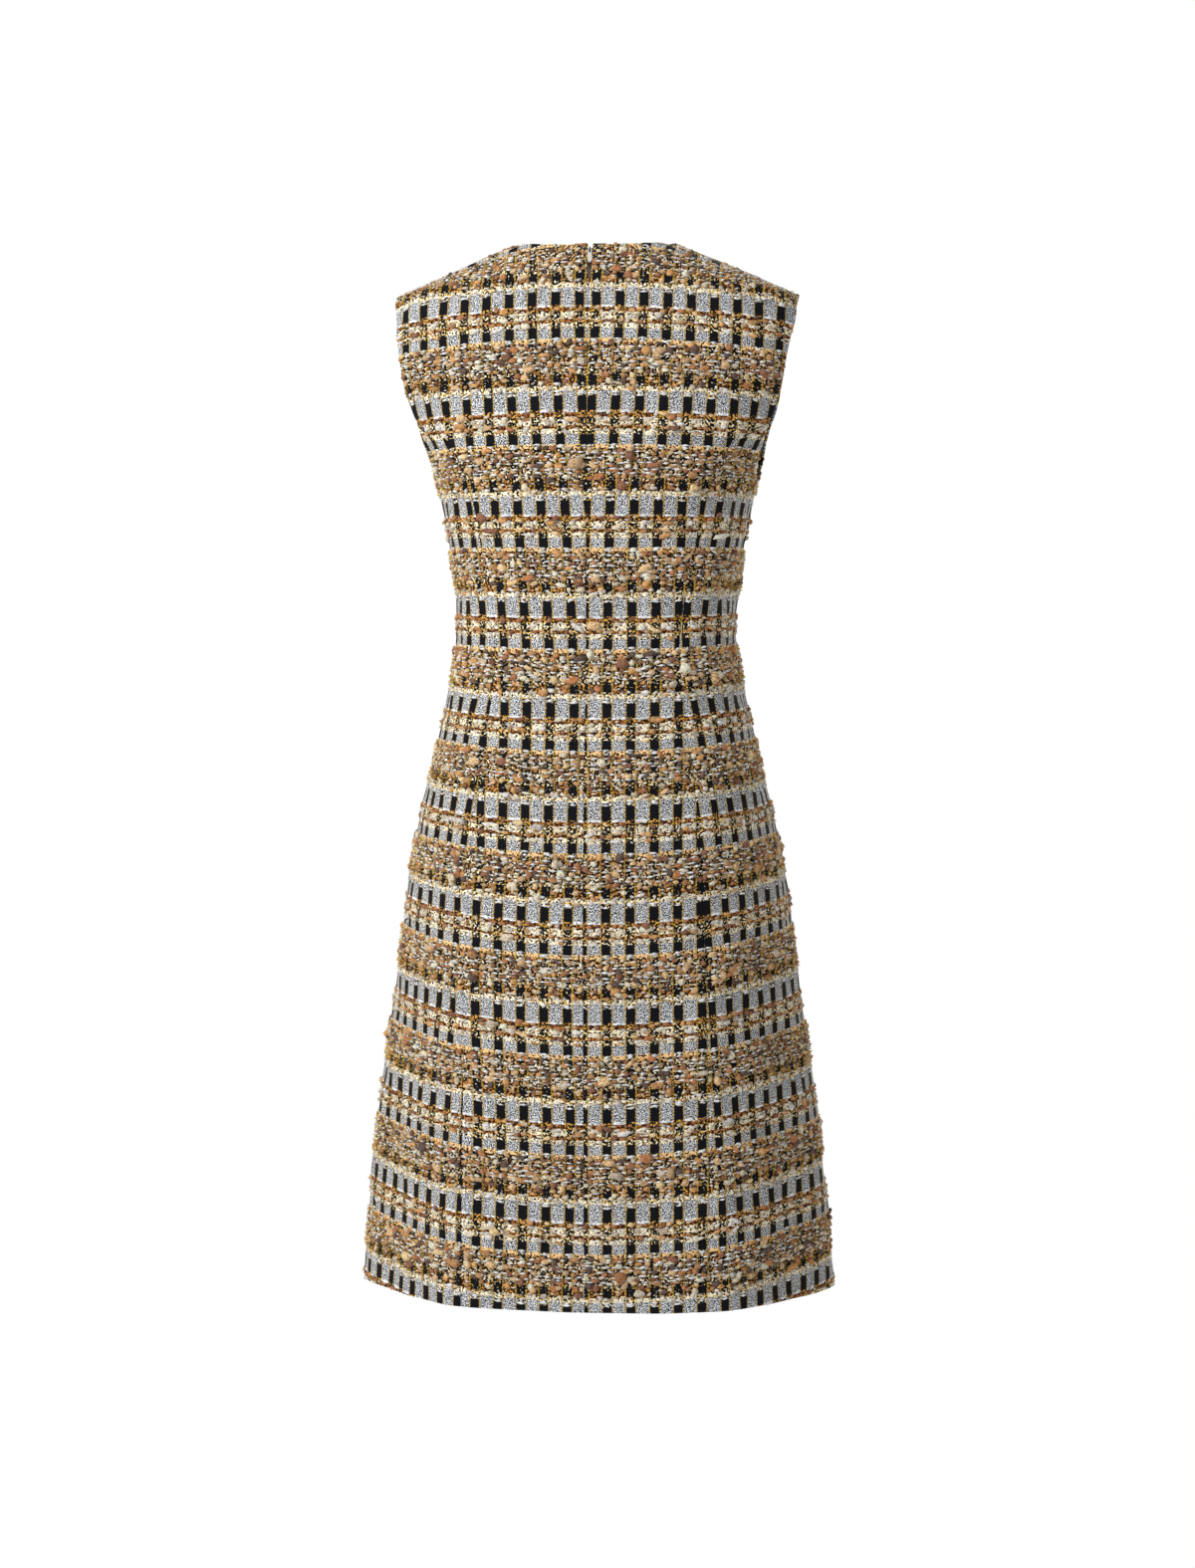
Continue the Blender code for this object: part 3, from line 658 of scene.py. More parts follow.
def weave_material():
    """The fine threads: black columns with gold at their edges, speckled columns, and rows across."""
    s = Shader("Boucle tweed")
    grain = s.node("ShaderNodeUVMap", uv_map="Grain").outputs[0]
    split = s.node("ShaderNodeSeparateXYZ", {0: grain})
    across = s.math("MULTIPLY", split.outputs[0], 1000.0)
    down = s.math("MULTIPLY", split.outputs[1], 1000.0)
    place = s.node("ShaderNodeCombineXYZ", {0: across, 1: down}).outputs[0]
    across = s.math("MULTIPLY_ADD", s.swing(place, 0.35), 1.6, across)
    jitter = s.swing(place, 1.1)
    across = s.math("MULTIPLY_ADD", jitter, 1.6, across)
    elsewhere = s.node("ShaderNodeVectorMath", {0: place, 1: (37.0, 11.0, 5.0)}).outputs[0]
    down = s.math("MULTIPLY_ADD", s.swing(elsewhere, 0.3), 2.0, down)
    down = s.math("MULTIPLY_ADD", jitter, 1.2, down)

    column = s.math("FRACT", s.math("MULTIPLY_ADD", across, 0.001 / COLUMN, 0.5))
    from_column = s.math("MULTIPLY", s.math("ABSOLUTE", s.math("SUBTRACT", column, 0.5)), COLUMN * 1000)
    on_column = s.math("SUBTRACT", 1.0, s.step(from_column, *BLACK_EDGE))
    row = s.math("FRACT", s.math("MULTIPLY", down, 0.001 / REPEAT))
    millimetre = 0.001 / REPEAT

    def striped(colours):
        return s.stripes(row, [(r.start * millimetre, c) for r, c in zip(ROWS, colours)])

    between = striped(r.between for r in ROWS)
    crossing = striped(r.column for r in ROWS)
    fine = s.bands(row, FINE_ROWS, millimetre)
    speckled = s.bands(row, MELANGE_ROWS, millimetre)

    speck = s.noise(place, 1.05, 1.0, 0.4)
    melange = s.mix(s.step(speck, 0.505, 0.540), srgb("14171D"), srgb("E6E8EA"))
    coarse = s.noise(place, 0.50, 2.0, 0.3)
    dark_and_gap_shade_share = striped((r.between_dark,) * 3 for r in ROWS)
    deep = striped((r.column_dark,) * 3 for r in ROWS)

    def showing(dark_share):
        """1 where the coloured thread lies on top, for a share of dark: dark thread, and between the
        columns also painted shade.
        """
        limit = s.math("MULTIPLY_ADD", dark_share, 0.42, 0.29)
        return s.step(s.math("SUBTRACT", coarse, limit), -0.02, 0.02)

    # The dark brown under the coloured thread is partly dark thread and partly painted shade in the gaps
    # between the lumps.
    under = s.mix(showing(dark_and_gap_shade_share), DARK_BROWN, between)
    light = s.mix(speckled, under, melange)
    other = s.noise(place, 0.42, 0.0, 0.0)
    dotted = s.mix(s.step(other, 0.54, 0.58), crossing, GOLD)
    dotted = s.mix(showing(deep), BLACK, dotted)
    dark = s.mix(fine, dotted, BLACK)
    cloth = s.mix(on_column, light, dark)

    from_edge = s.math("ABSOLUTE", s.math("SUBTRACT", from_column, GOLD_FROM_COLUMN))
    on_gold = s.math("SUBTRACT", 1.0, s.step(from_edge, 0.4, 0.8))
    beads = s.step(s.math("SINE", s.math("MULTIPLY", down, 2 * math.pi / GOLD_SPACING)), -0.2, 0.3)
    gold = s.math("MULTIPLY", on_gold, beads)
    cloth = s.mix(s.math("MULTIPLY", on_gold, 0.45), cloth, BLACK)
    cloth = s.mix(gold, cloth, GOLD)

    relief = s.math("ADD", s.math("MULTIPLY", speck, 0.6), s.math("MULTIPLY", coarse, 0.5))
    relief = s.math("ADD", relief, s.math("MULTIPLY", gold, 0.7))
    looks = {"Roughness": 0.9, "Specular IOR Level": 0.12, "Sheen Weight": 0.02, "Sheen Roughness": 0.5}
    return s.finish({"Base Color": cloth, "Normal": s.bump(0.7, 0.0008, relief), **looks})


def yarn_material():
    """Soft spun yarn, in the colour that each lump carries."""
    s = Shader("Boucle yarn")
    carried = s.node("ShaderNodeAttribute", attribute_name="Shade")
    shade, softness = carried.outputs["Color"], carried.outputs["Alpha"]
    place = s.place()
    fibres = s.noise(place, 1400.0, 3.0, 1.0)
    loops = s.noise(place, 520.0, 2.0, 0.8)
    darker = s.mix(0.62, shade, BROWN)
    lighter = s.mix(0.16, shade, WHITE)
    colour = s.mix(s.step(fibres, 0.36, 0.60), s.mix(0.30, shade, BROWN), lighter)
    colour = s.mix(s.step(loops, 0.36, 0.50), darker, colour)
    colour = s.mix(softness, shade, colour)
    relief = s.math("ADD", fibres, loops)
    looks = {"Roughness": 0.95, "Specular IOR Level": 0.15, "Sheen Weight": 0.08}
    return s.finish({"Base Color": colour, "Normal": s.bump(1.0, 0.0012, relief), **looks})


def panel_object(name, panel, finish):
    """A sheet from a grid, laid through the panel's places, with its grain and its wall."""
    columns, rows = panel.across.shape[0] - 1, panel.across.shape[1] - 1
    bm = bmesh.new()
    grain = bm.loops.layers.uv.new("Grain")
    bake = bm.loops.layers.uv.new("OFBake")
    bmesh.ops.create_grid(bm, x_segments=columns, y_segments=rows, size=0.5)
    corner = (panel.across.min(), panel.down.min())
    scale = (1 - 2 * BAKE_MARGIN) / max(np.ptp(panel.across), np.ptp(panel.down))
    for vert in bm.verts:
        i = round((vert.co.x + 0.5) * columns)
        j = round((vert.co.y + 0.5) * rows)
        vert.co = panel.points[i, j]
        for loop in vert.link_loops:
            u, v = float(panel.across[i, j]), float(panel.down[i, j])
            loop[grain].uv = (u, v)
            loop[bake].uv = [BAKE_MARGIN + (p - low) * scale for p, low in zip((u, v), corner)]
    bm.normal_update()
    if sum(f.normal.dot(Vector((*f.calc_center_median().xy, 0))) for f in bm.faces) < 0:
        bmesh.ops.reverse_faces(bm, faces=bm.faces)
    mesh = bpy.data.meshes.new(name)
    bm.to_mesh(mesh)
    bm.free()
    mesh.materials.append(finish)
    mesh.shade_smooth()
    made = add_object(name, mesh)
    wall = made.modifiers.new("Wall", "SOLIDIFY")
    wall.thickness = 0.0020
    wall.offset = -1.0
    turned = made.modifiers.new("Turned edge", "BEVEL")
    turned.width = 0.0009
    turned.segments = 3
    turned.limit_method = "ANGLE"
    turned.angle_limit = math.radians(50)
    return made


# The thick yarns, row by row, in millimetres: place down the repeat, length, spacing, height on the
# cloth and rise out of it, and then the mixture of colours and where they lie
Yarn = namedtuple("Yarn", "row length spacing height rise colours lies")
BETWEEN, ON_COLUMN, ALL_OVER, AT_EDGES = "between", "on column", "all over", "at the column's edges"
# Each mixture runs from its darkest colour to its lightest, and a yarn drifts through it along a row
TANS = [(DARK_BROWN, 1), (BROWN, 3), (CARAMEL, 4), (TAN, 6), (PALE_TAN, 9), (CREAM, 5)]
DEEP_TANS = [(DARK_BROWN, 2), (BROWN, 5), (CARAMEL, 5), (TAN, 5), (PALE_TAN, 6), (CREAM, 2)]
MIDDLES = [(BROWN, 3), (CARAMEL, 5), (TAN, 5), (PALE_TAN, 6), (CREAM, 2)]
CREAMS = [(TAN, 1), (PALE_TAN, 1), (CREAM, 6), (WHITE, 5)]
WHITES = [(WHITE, 2), (COOL_WHITE, 4)]
GOLDS = [(DULL_GOLD, 1), (GOLD, 3), (PALE_GOLD, 1)]
PERIOD = COLUMN * 1000
YARNS = [
    Yarn(1.0, 4.5, 6.5, 2.2, 1.8, CREAMS, BETWEEN),
    Yarn(3.0, 7.4, PERIOD, 1.9, 1.7, WHITES, ON_COLUMN),
    Yarn(5.4, 8.2, PERIOD, 1.9, 1.7, WHITES, ON_COLUMN),
    Yarn(19.7, 9.4, PERIOD, 1.5, 1.4, WHITES, BETWEEN),
    Yarn(22.4, 4.8, 7.0, 2.8, 2.3, MIDDLES, ALL_OVER),
    Yarn(24.8, 5.0, 8.5, 1.6, 1.8, WHITES, BETWEEN),
    Yarn(26.9, 7.0, 9.6, 3.0, 2.4, CREAMS, BETWEEN),
    Yarn(29.7, 5.6, 7.6, 2.8, 2.3, CREAMS, BETWEEN),
    Yarn(32.9, 4.8, 7.0, 2.7, 2.2, MIDDLES, ALL_OVER),
    Yarn(35.3, 5.0, 8.5, 1.6, 1.8, WHITES, BETWEEN),
    Yarn(37.3, 7.2, 9.6, 2.8, 2.2, CREAMS, BETWEEN),
    Yarn(48.7, 8.0, PERIOD, 1.9, 1.7, WHITES, ON_COLUMN),
    Yarn(50.6, 6.8, PERIOD, 1.6, 1.5, WHITES, ON_COLUMN),
    Yarn(52.8, 5.4, 7.2, 3.7, 2.8, DEEP_TANS, ALL_OVER),
    Yarn(55.0, 6.6, 9.6, 1.8, 1.9, WHITES, ALL_OVER),
    Yarn(57.2, 5.6, 7.4, 3.9, 2.9, TANS, ALL_OVER),
    Yarn(59.6, 7.0, 9.4, 1.8, 1.9, WHITES, ALL_OVER),
    Yarn(61.8, 5.4, 7.4, 3.7, 2.8, DEEP_TANS, ALL_OVER),
    Yarn(64.0, 7.4, 9.8, 1.8, 1.9, WHITES, ALL_OVER),
    Yarn(66.4, 5.8, 7.6, 3.8, 2.9, TANS, ALL_OVER),
    Yarn(69.0, 7.6, 9.4, 1.8, 1.9, WHITES, ALL_OVER),
    Yarn(70.9, 5.4, 7.4, 3.6, 2.8, DEEP_TANS, ALL_OVER),
    Yarn(73.2, 8.0, 9.8, 1.8, 1.9, WHITES, ALL_OVER),
    Yarn(75.4, 5.8, 7.4, 3.8, 2.9, TANS, ALL_OVER),
    Yarn(79.6, 5.6, 6.6, 3.9, 2.7, TANS, BETWEEN),
    Yarn(82.0, 6.0, 9.0, 1.6, 1.9, WHITES, BETWEEN),
    Yarn(84.2, 5.4, 6.8, 3.6, 2.6, TANS, BETWEEN),
    Yarn(87.0, 5.0, 7.0, 2.4, 2.0, CREAMS, ALL_OVER),
]
GOLD_ROWS = np.arange(51.5, 89.0, GOLD_SPACING)
YARNS += [Yarn(row, 1.6, PERIOD, 1.52, 4.6, GOLDS, AT_EDGES) for row in GOLD_ROWS]
# A yarn less high than this (mm) is a thin smooth thread; the others are thick uneven nubs. A spin is
# how unevenly they lean (radians), grow, round out and lie (m), their darkest shade and their softness
THIN = 2.0
Spin = namedtuple("Spin", "lean size rough astray darkest soft")
THREAD = Spin(0.07, 0.12, 0.10, 0.0003, 0.90, 0.0)
NUB = Spin(0.24, 0.24, 0.24, 0.0009, 0.65, 1.0)
BLACK_HALF_WIDTH = 4.6
EDGE_MARGIN = 0.0012
SHORTEST_ROW = 0.004
WIDEST_STEP = 0.02
BIG_NUB_SHARE, BIG_NUB_SIZE = 0.07, 1.45
FLOAT_RISE = 0.0011
LIGHTEST = 1.35


def lump(thin):
    """(vertices, triangles) of one small round lump, 1 across. A thin thread needs fewer faces."""
    bm = bmesh.new()
    if thin:
        bmesh.ops.create_uvsphere(bm, u_segments=4, v_segments=2, radius=0.5)
    else:
        bmesh.ops.create_uvsphere(bm, u_segments=5, v_segments=4, radius=0.5)
        bmesh.ops.triangulate(bm, faces=bm.faces)
    verts = np.array([v.co[:] for v in bm.verts])
    faces = np.array([[v.index for v in f.verts] for f in bm.faces])
    bm.free()
    return verts, faces


def joined_lumps(name, corners, triangles, finish):
    """One smooth object from the corners and triangles of many lumps."""
    mesh = bpy.data.meshes.new(name)
    mesh.from_pydata(corners.reshape(-1, 3), [], triangles.reshape(-1, 3).tolist())
    mesh.shade_smooth()
    mesh.materials.append(finish)
    return add_object(name, mesh)


def row_line(panel, down):
    """Where the panel's cloth crosses one row: distance across, point and normal, by column."""
    count = panel.down.shape[0]
    inside = (panel.down[:, 0] <= down) & (panel.down[:, -1] >= down)
    found = np.zeros((count, 7))
    for i in np.flatnonzero(inside):
        place = np.interp(down, panel.down[i], np.arange(panel.down.shape[1]))
        k = min(int(place), panel.down.shape[1] - 2)
        t = place - k
        found[i, 0] = panel.across[i, k] * (1 - t) + panel.across[i, k + 1] * t
        found[i, 1:4] = panel.points[i, k] * (1 - t) + panel.points[i, k + 1] * t
        found[i, 4:7] = panel.normals[i, k] * (1 - t) + panel.normals[i, k + 1] * t
    return found, inside


def places_on_row(yarn, low, high, random):
    """Distances across at which the yarn's lumps lie on one row."""
    step = yarn.spacing / 1000
    if yarn.lies == ALL_OVER or step < COLUMN * 0.9:
        start = low + random.uniform(0, step)
        across = start + step * np.arange(int((high - low) / step) + 1)
        across = across + random.normal(0, 0.18 * step, len(across))
    elif yarn.lies == AT_EDGES:
        first, last = math.ceil(low / COLUMN), math.floor(high / COLUMN)
        columns = COLUMN * np.arange(first, last + 1)
        away = GOLD_FROM_COLUMN / 1000
        across = np.sort(np.concatenate([columns - away, columns + away]))
        across = across + random.normal(0, 0.0002, len(across))
    else:
        offset = 0.0 if yarn.lies == ON_COLUMN else COLUMN / 2
        first = math.ceil((low - offset) / COLUMN)
        last = math.floor((high - offset) / COLUMN)
        across = offset + COLUMN * np.arange(first, last + 1)
        across = across + random.normal(0, 0.0003, len(across))
    from_column = np.abs((across / COLUMN + 0.5) % 1.0 - 0.5) * COLUMN * 1000
    if yarn.lies == BETWEEN:
        across = across[from_column > BLACK_HALF_WIDTH + 0.3]
    return across


def lumps_on_row(panel, yarn, down, random):
    """(distances across of one yarn's lumps on one row, the row's known places), or None."""
    line, inside = row_line(panel, down)
    if inside.sum() < 2:
        return None
    order = np.argsort(line[inside, 0])
    known = line[inside][order]
    low, high = known[0, 0] + EDGE_MARGIN, known[-1, 0] - EDGE_MARGIN
    if high - low < SHORTEST_ROW:
        return None
    across = places_on_row(yarn, low, high, random)
    across = across[(across > low) & (across < high)]
    if not len(across):
        return None
    index = np.interp(across, known[:, 0], np.flatnonzero(inside)[order])
    nearest = np.clip(np.round(index).astype(int), 0, len(inside) - 1)
    across = across[inside[nearest]]
    steps = np.diff(known[:, 0])
    k = np.interp(across, known[:, 0], np.arange(len(known))).astype(int)
    across = across[steps[np.clip(k, 0, len(steps) - 1)] < WIDEST_STEP]
    return (across, known) if len(across) else None


def directions(known, across):
    """Points of a row, and the directions along it, up the cloth and out of the cloth."""

    def at(places, columns):
        return np.stack([np.interp(places, known[:, 0], known[:, c]) for c in columns], 1)

    normal = at(across, (4, 5, 6))
    normal /= np.linalg.norm(normal, axis=1, keepdims=True)
    along = at(across + 0.002, (1, 2, 3)) - at(across - 0.002, (1, 2, 3))
    along -= normal * (along * normal).sum(1, keepdims=True)
    along /= np.maximum(np.linalg.norm(along, axis=1, keepdims=True), 1e-9)
    return at(across, (1, 2, 3)), along, np.cross(normal, along), normal


def lump_sizes(yarn, spin, point, room, random):
    """(length, height, rise) of each lump: uneven, smaller by the shoulder seam, clear of the edges."""
    count = len(point)
    size = np.array([yarn.length, yarn.height, yarn.rise]) / 1000
    if spin is NUB:
        size = size * np.where(random.random((count, 1)) < BIG_NUB_SHARE, BIG_NUB_SIZE, 1.0)
    uneven = random.normal(0, spin.size, (count, 3)) + random.normal(0, spin.size, (count, 1))
    size = size * np.exp(uneven)
    size *= np.clip(0.45 + below_shoulder(point[:, 0], point[:, 2]) / 0.03, 0.45, 1.0)[:, None]
    size[:, 0] = np.minimum(size[:, 0], 2 * room + 0.0008)
    return size


def lump_shades(yarn, spin, across, random):
    """Each lump's colour and softness. The colour drifts through the yarn's mixture along the row."""
    count = len(across)
    weights = np.cumsum([w for _, w in yarn.colours], dtype=float)
    phases = random.uniform(0, 2 * math.pi, 2)
    drift = np.sin(across * 270 + phases[0]) + np.sin(across * 163 + phases[1])
    place = np.clip(0.5 + 0.27 * drift + random.normal(0, 0.24, count), 0, 0.999)
    chosen = np.searchsorted(weights / weights[-1], place, side="right")
    shade = np.array([c for c, _ in yarn.colours])[chosen]
    shade = shade * random.uniform(spin.darkest, LIGHTEST, (count, 1))
    return np.concatenate([shade, np.full((count, 1), spin.soft)], 1)


def row_of_lumps(panel, yarn, down, verts, random):
    """(corners of each lump, shade of each lump) for one yarn on one row, or None."""
    found = lumps_on_row(panel, yarn, down, random)
    if found is None:
        return None
    across, known = found
    count, spin = len(across), THREAD if yarn.height < THIN else NUB
    point, along, upward, normal = directions(known, across)
    tilt = random.normal(0, spin.lean, (count, 1))
    leaning = along * np.cos(tilt) + upward * np.sin(tilt)
    upward = upward * np.cos(tilt) - along * np.sin(tilt)
    room = np.minimum(across - known[0, 0], known[-1, 0] - across)
    size = lump_sizes(yarn, spin, point, room, random)
    sway = 0.0007 * np.sin(across * 95 + down * 611) + 0.0005 * np.sin(across * 213 - down * 977)
    floats = spin is THREAD and yarn.lies == ALL_OVER
    lift = 0.12 * size[:, None, 2:3] + (FLOAT_RISE if floats else 0.0)
    point = point + upward * (sway + random.normal(0, spin.astray, count))[:, None]
    shape = verts[None] * (1 + random.uniform(-spin.rough, spin.rough, (count, len(verts), 1)))
    corners = (
        point[:, None]
        + leaning[:, None] * (shape[..., 0:1] * size[:, None, 0:1])
        + upward[:, None] * (shape[..., 1:2] * size[:, None, 1:2])
        + normal[:, None] * (shape[..., 2:3] * size[:, None, 2:3] + lift)
    )
    return corners, lump_shades(yarn, spin, across, random)


def bake_places(flats):
    """A cell of the bake map for each lump, with the lump's flat outline inside it."""
    cells = math.ceil(math.sqrt(sum(len(f) for f in flats)))
    places, done = [], 0
    for outline in flats:
        index = done + np.arange(len(outline))
        cell = np.stack([index % cells, index // cells], 1)
        places.append(((cell[:, None] + 0.5 + 0.8 * outline) / cells).reshape(-1, 2))
        done += len(outline)
    return np.concatenate(places)


def lay_yarns(name, panel, finish, seed):
    """All the panel's thick yarns as one mesh of lumps, each in its own colour."""
    random = np.random.default_rng(seed)
    shapes = {thin: lump(thin) for thin in (True, False)}
    first = math.floor((panel.down.min() + FIRST_ROW) / REPEAT) - 1
    last = math.ceil((panel.down.max() + FIRST_ROW) / REPEAT) + 1
    placed, flats, triangles, shades, total = [], [], [], [], 0
    for repeat in range(first, last):
        for yarn in YARNS:
            down = repeat * REPEAT + yarn.row / 1000 - FIRST_ROW
            verts, faces = shapes[yarn.height < THIN]
            made = row_of_lumps(panel, yarn, down, verts, random)
            if made is None:
                continue
            corners, shade = made
            start = total + np.arange(len(corners))[:, None, None] * len(verts)
            triangles.append((faces[None] + start).reshape(-1, 3))
            placed.append(corners.reshape(-1, 3))
            flats.append(np.repeat(verts[None, :, :2], len(corners), 0))
            shades.append(np.repeat(shade, len(verts), 0))
            total += len(corners) * len(verts)
    made = joined_lumps(name, np.concatenate(placed), np.concatenate(triangles), finish)
    mesh = made.data
    colour = mesh.attributes.new("Shade", "FLOAT_COLOR", "POINT")
    colour.data.foreach_set("color", np.clip(np.concatenate(shades), 0, 1).ravel())
    bake = mesh.uv_layers.new(name="OFBake")
    loops = np.zeros(len(mesh.loops), int)
    mesh.loops.foreach_get("vertex_index", loops)
    bake.uv.foreach_set("vector", bake_places(flats)[loops].ravel())
    return made


# The zip, as it lies under the cloth's inner face
CHAIN_TOP_Z = -0.0180
CHAIN_END_Z = -0.565
CHAIN_DEPTH = 0.0032
CHAIN_MARGIN = 0.001
COIL_PITCH = 0.0016
COIL_X = 0.0006
COIL_LEAN = 0.22
COIL_SIZE = (0.0034, 0.0010, 0.0012)
TAPE_TOP_Z = -0.0030
TAPE_END_Z = -0.585
TAPE_DEPTH = 0.0013
TAPE_MARGIN = 0.004
STITCH_PITCH = 0.0034
STITCH_X = {"inner": 0.0062, "outer": 0.0118}
STITCH_SIZE = (0.0024, 0.0005, 0.0004)
RIB_SPACING = 0.0009


def tape_material():
    """Narrow woven tape: a fine herringbone in taupe."""
    s = Shader("Zip tape")
    place = s.place()
    split = s.node("ShaderNodeSeparateXYZ", {0: place})
    zigzag = s.math("PINGPONG", split.outputs[0], 0.0012)
    slanted = s.math("ADD", split.outputs[2], zigzag)
    ribs = s.math("SINE", s.math("MULTIPLY", slanted, 2 * math.pi / RIB_SPACING))
    grain = s.noise(place, 900.0, 2.0)
    weave = s.math("MULTIPLY_ADD", ribs, 0.35, grain)
    colour = s.mix(s.step(weave, 0.1, 0.9), srgb("5A4A3A"), srgb("8B7760"))
    return s.finish({"Base Color": colour, "Normal": s.bump(0.6, 0.0003, weave), "Roughness": 0.85})


def coil_material():
    """Satin nylon, a little streaked."""
    s = Shader("Zip coil")
    streak = s.noise(s.place(), 700.0, 2.0)
    return s.finish({"Base Color": s.mix(streak, srgb("4E4033"), srgb("7A6753")), "Roughness": 0.42})


def enamel_material(name, low, high, roughness):
    """Painted zinc, worn a little unevenly."""
    s = Shader(name)
    wear = s.noise(s.place(), 420.0, 4.0)
    colour = s.mix(wear, srgb(low), srgb(high))
    rough = s.math("MULTIPLY_ADD", wear, 0.2, roughness)
    return s.finish({"Base Color": colour, "Roughness": rough, "Normal": s.bump(0.25, 0.0002, wear)})


def row_of_beads(name, centres, along, size, finish):
    """Many small rounded beads as one mesh, each laid with its length along a direction."""
    verts, faces = lump(False)
    along = along / np.linalg.norm(along, axis=1, keepdims=True)
    upward = np.cross(along, np.array([0.0, 1.0, 0.0]))
    upward /= np.linalg.norm(upward, axis=1, keepdims=True)
    out = np.cross(upward, along)
    shape = verts * np.array(size)
    body = centres[:, None] + sum(
        shape[None, :, k : k + 1] * axis[:, None] for k, axis in enumerate((along, upward, out))
    )
    triangles = faces[None] + np.arange(len(centres))[:, None, None] * len(verts)
    made = joined_lumps(name, body, triangles, finish)
    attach(made, "dress")
    return made


def back_line(x, z, depth):
    """Points beside the centre back at heights z, a depth under the cloth's inner face."""
    y = form(1, np.zeros_like(z), z)[:, 1]
    return np.stack([np.full_like(z, x), y - depth, z], 1)


def zip_fastener():
    """The zip's own finishes, the two rows of its coil and the stitches that hold its tapes."""
    tape = tape_material()
    coil = coil_material()
    slider = enamel_material("Slider enamel", "3A322B", "5B4F45", 0.40)
    finishes = {
        "zip_tape_left": tape,
        "zip_tape_right": tape,
        "zip_chain": coil,
        "zip_slider": slider,
        "zip_stop": slider,
        "zip_pull_tab": enamel_material("Pull tab enamel", "A8A49B", "C9C5BC", 0.38),
    }
    for name, finish in finishes.items():
        bpy.data.objects[name].material_slots[0].material = finish

    teeth = np.arange(CHAIN_TOP_Z - CHAIN_MARGIN, CHAIN_END_Z + CHAIN_MARGIN, -COIL_PITCH)
    stitches = np.arange(TAPE_TOP_Z - TAPE_MARGIN, TAPE_END_Z + TAPE_MARGIN, -STITCH_PITCH)
    for hand, word in HANDS:
        z = teeth - (hand > 0) * COIL_PITCH / 2
        centres = back_line(hand * COIL_X, z, CHAIN_DEPTH)
        along = np.tile([hand * 1.0, 0.0, -COIL_LEAN], (len(z), 1))
        row_of_beads(f"coil_{word}", centres, along, COIL_SIZE, coil)
        for place, x in STITCH_X.items():
            centres = back_line(hand * x, stitches, TAPE_DEPTH)
            along = np.gradient(centres, axis=0)
            name = f"tape_stitches_{place}_{word}"
            row_of_beads(name, centres, along, STITCH_SIZE, tape)


def dress():
    tweed = weave_material()
    yarn = yarn_material()
    back_half = centre_half(1, slot_half_width)
    front_half = centre_half(-1, lambda z: 0.0 * np.asarray(z))
    side_halves = {1: side_half(1), -1: side_half(-1)}
    centre_edges = [(0, SEAM_DRAW), (-1, SEAM_DRAW)]
    side_edges = [(0, SEAM_DRAW), (-1, SEAM_DRAW * 0.6)]
    panels = {}
    for hand, word in HANDS:
        centre = lay(1, hand, back_half, 0.0, centre_edges)
        shift = hand * SHIFT[hand](back_half.z)
        panels[f"center_back_{word}"] = centre._replace(across=centre.across + shift)
        for side, place in ((1, "back"), (-1, "front")):
            half = side_halves[side]
            panel = closed_at_side_seam(side, half, lay(side, hand, half, SIDE_PHASE, side_edges))
            panels[f"side_{place}_{word}"] = panel._replace(across=panel.across * SIDE_GRAIN)
    halves = [lay(-1, hand, front_half, COLUMN / 2, [(-1, SEAM_DRAW)]) for hand in (-1, 1)]
    panels["center_front"] = joined(*halves)
    for seed, (name, panel) in enumerate(panels.items()):
        cloth = panel_object(f"tweed_{name}", panel._replace(down=panel.down + FIRST_ROW), tweed)
        lumps = lay_yarns(f"yarns_{name}", panel, yarn, seed)
        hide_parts(name)
        for piece in (cloth, lumps):
            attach(piece, "dress")


CAMERA_TURN = 185.4
CAMERA_DISTANCE = 2.70
CAMERA_Z = -0.3008
FRAME_HEIGHT = 1.449
FRAME_CENTRE_Z = -0.4908
SENSOR_WIDTH = 36.0
FLOOR_Z = -1.30
FLOOR_RADIUS = 11.0
SURROUND_RADIUS = 12.0


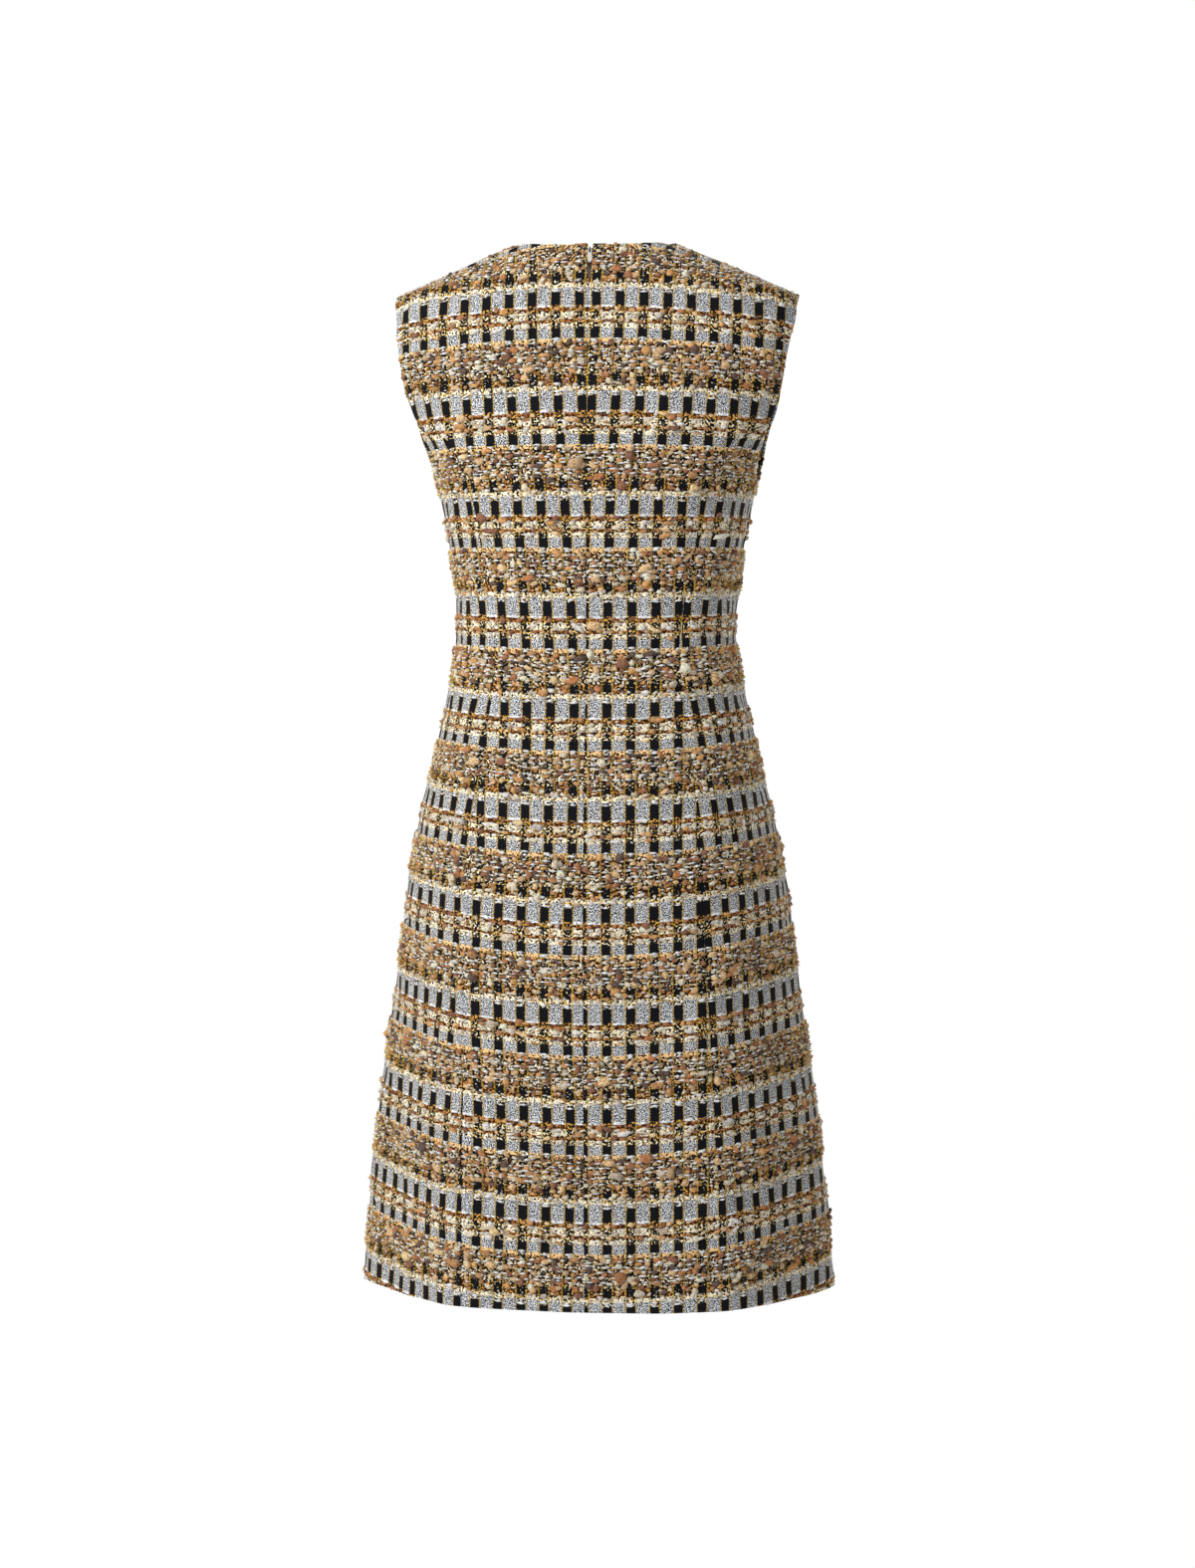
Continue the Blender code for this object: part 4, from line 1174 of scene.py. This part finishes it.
def camera():
    made = add_object("Camera", bpy.data.cameras.new("Camera"))
    turn = math.radians(CAMERA_TURN)
    made.location = (math.sin(turn) * CAMERA_DISTANCE, -math.cos(turn) * CAMERA_DISTANCE, CAMERA_Z)
    aim = Vector((0.0, 0.0, FRAME_CENTRE_Z))
    made.rotation_euler = (aim - made.location).to_track_quat("-Z", "Y").to_euler()
    made.data.sensor_width = SENSOR_WIDTH
    made.data.lens = SENSOR_WIDTH * CAMERA_DISTANCE / FRAME_HEIGHT
    made.data.clip_start = 0.05
    bpy.context.scene.camera = made


def light(name, place, size, power, aim=(0.0, 0.0, -0.45)):
    data = bpy.data.lights.new(name, "AREA")
    data.shape = "DISK"
    data.size = size
    data.energy = power
    made = add_object(name, data)
    made.location = place
    made.rotation_euler = (Vector(aim) - Vector(place)).to_track_quat("-Z", "Y").to_euler()


def stage_object(name, bm, finish):
    mesh = bpy.data.meshes.new(name)
    bm.to_mesh(mesh)
    bm.free()
    mesh.materials.append(finish)
    made = add_object(name, mesh)
    return made


def studio():
    """A white floor that runs out into a white surround, with the lights round the dress."""
    glow = {"Base Color": (0.0, 0.0, 0.0), "Emission Color": (1.0, 1.0, 1.0), "Emission Strength": 1.0}
    white = Shader("White surround").finish(glow)
    pale = Shader("Pale floor").finish({**glow, "Roughness": 1.0, "Specular IOR Level": 0.0})

    bm = bmesh.new()
    bmesh.ops.create_circle(bm, cap_ends=True, segments=64, radius=FLOOR_RADIUS)
    bmesh.ops.translate(bm, verts=bm.verts, vec=(0.0, 0.0, FLOOR_Z))
    stage_object("floor", bm, pale)
    bm = bmesh.new()
    bmesh.ops.create_uvsphere(bm, u_segments=48, v_segments=24, radius=SURROUND_RADIUS)
    surround = stage_object("surround", bm, white)
    surround.visible_diffuse = False
    surround.visible_glossy = False
    surround.visible_shadow = False

    world = bpy.data.worlds.new("Studio")
    bpy.context.scene.world = world
    world.use_nodes = True
    world.node_tree.nodes["Background"].inputs[0].default_value = (1.0, 1.0, 1.0, 1)
    world.node_tree.nodes["Background"].inputs[1].default_value = 0.18
    light("Key", (2.3, 2.1, 1.2), 0.9, 102)
    light("Top", (0.5, 1.4, 2.2), 1.4, 32)
    light("Side", (-2.6, 1.7, 0.4), 1.6, 3)
    light("Front", (-1.6, -2.6, 0.8), 1.2, 60)
    bpy.context.scene.view_settings.view_transform = "Standard"


camera()
studio()
dress()
zip_fastener()
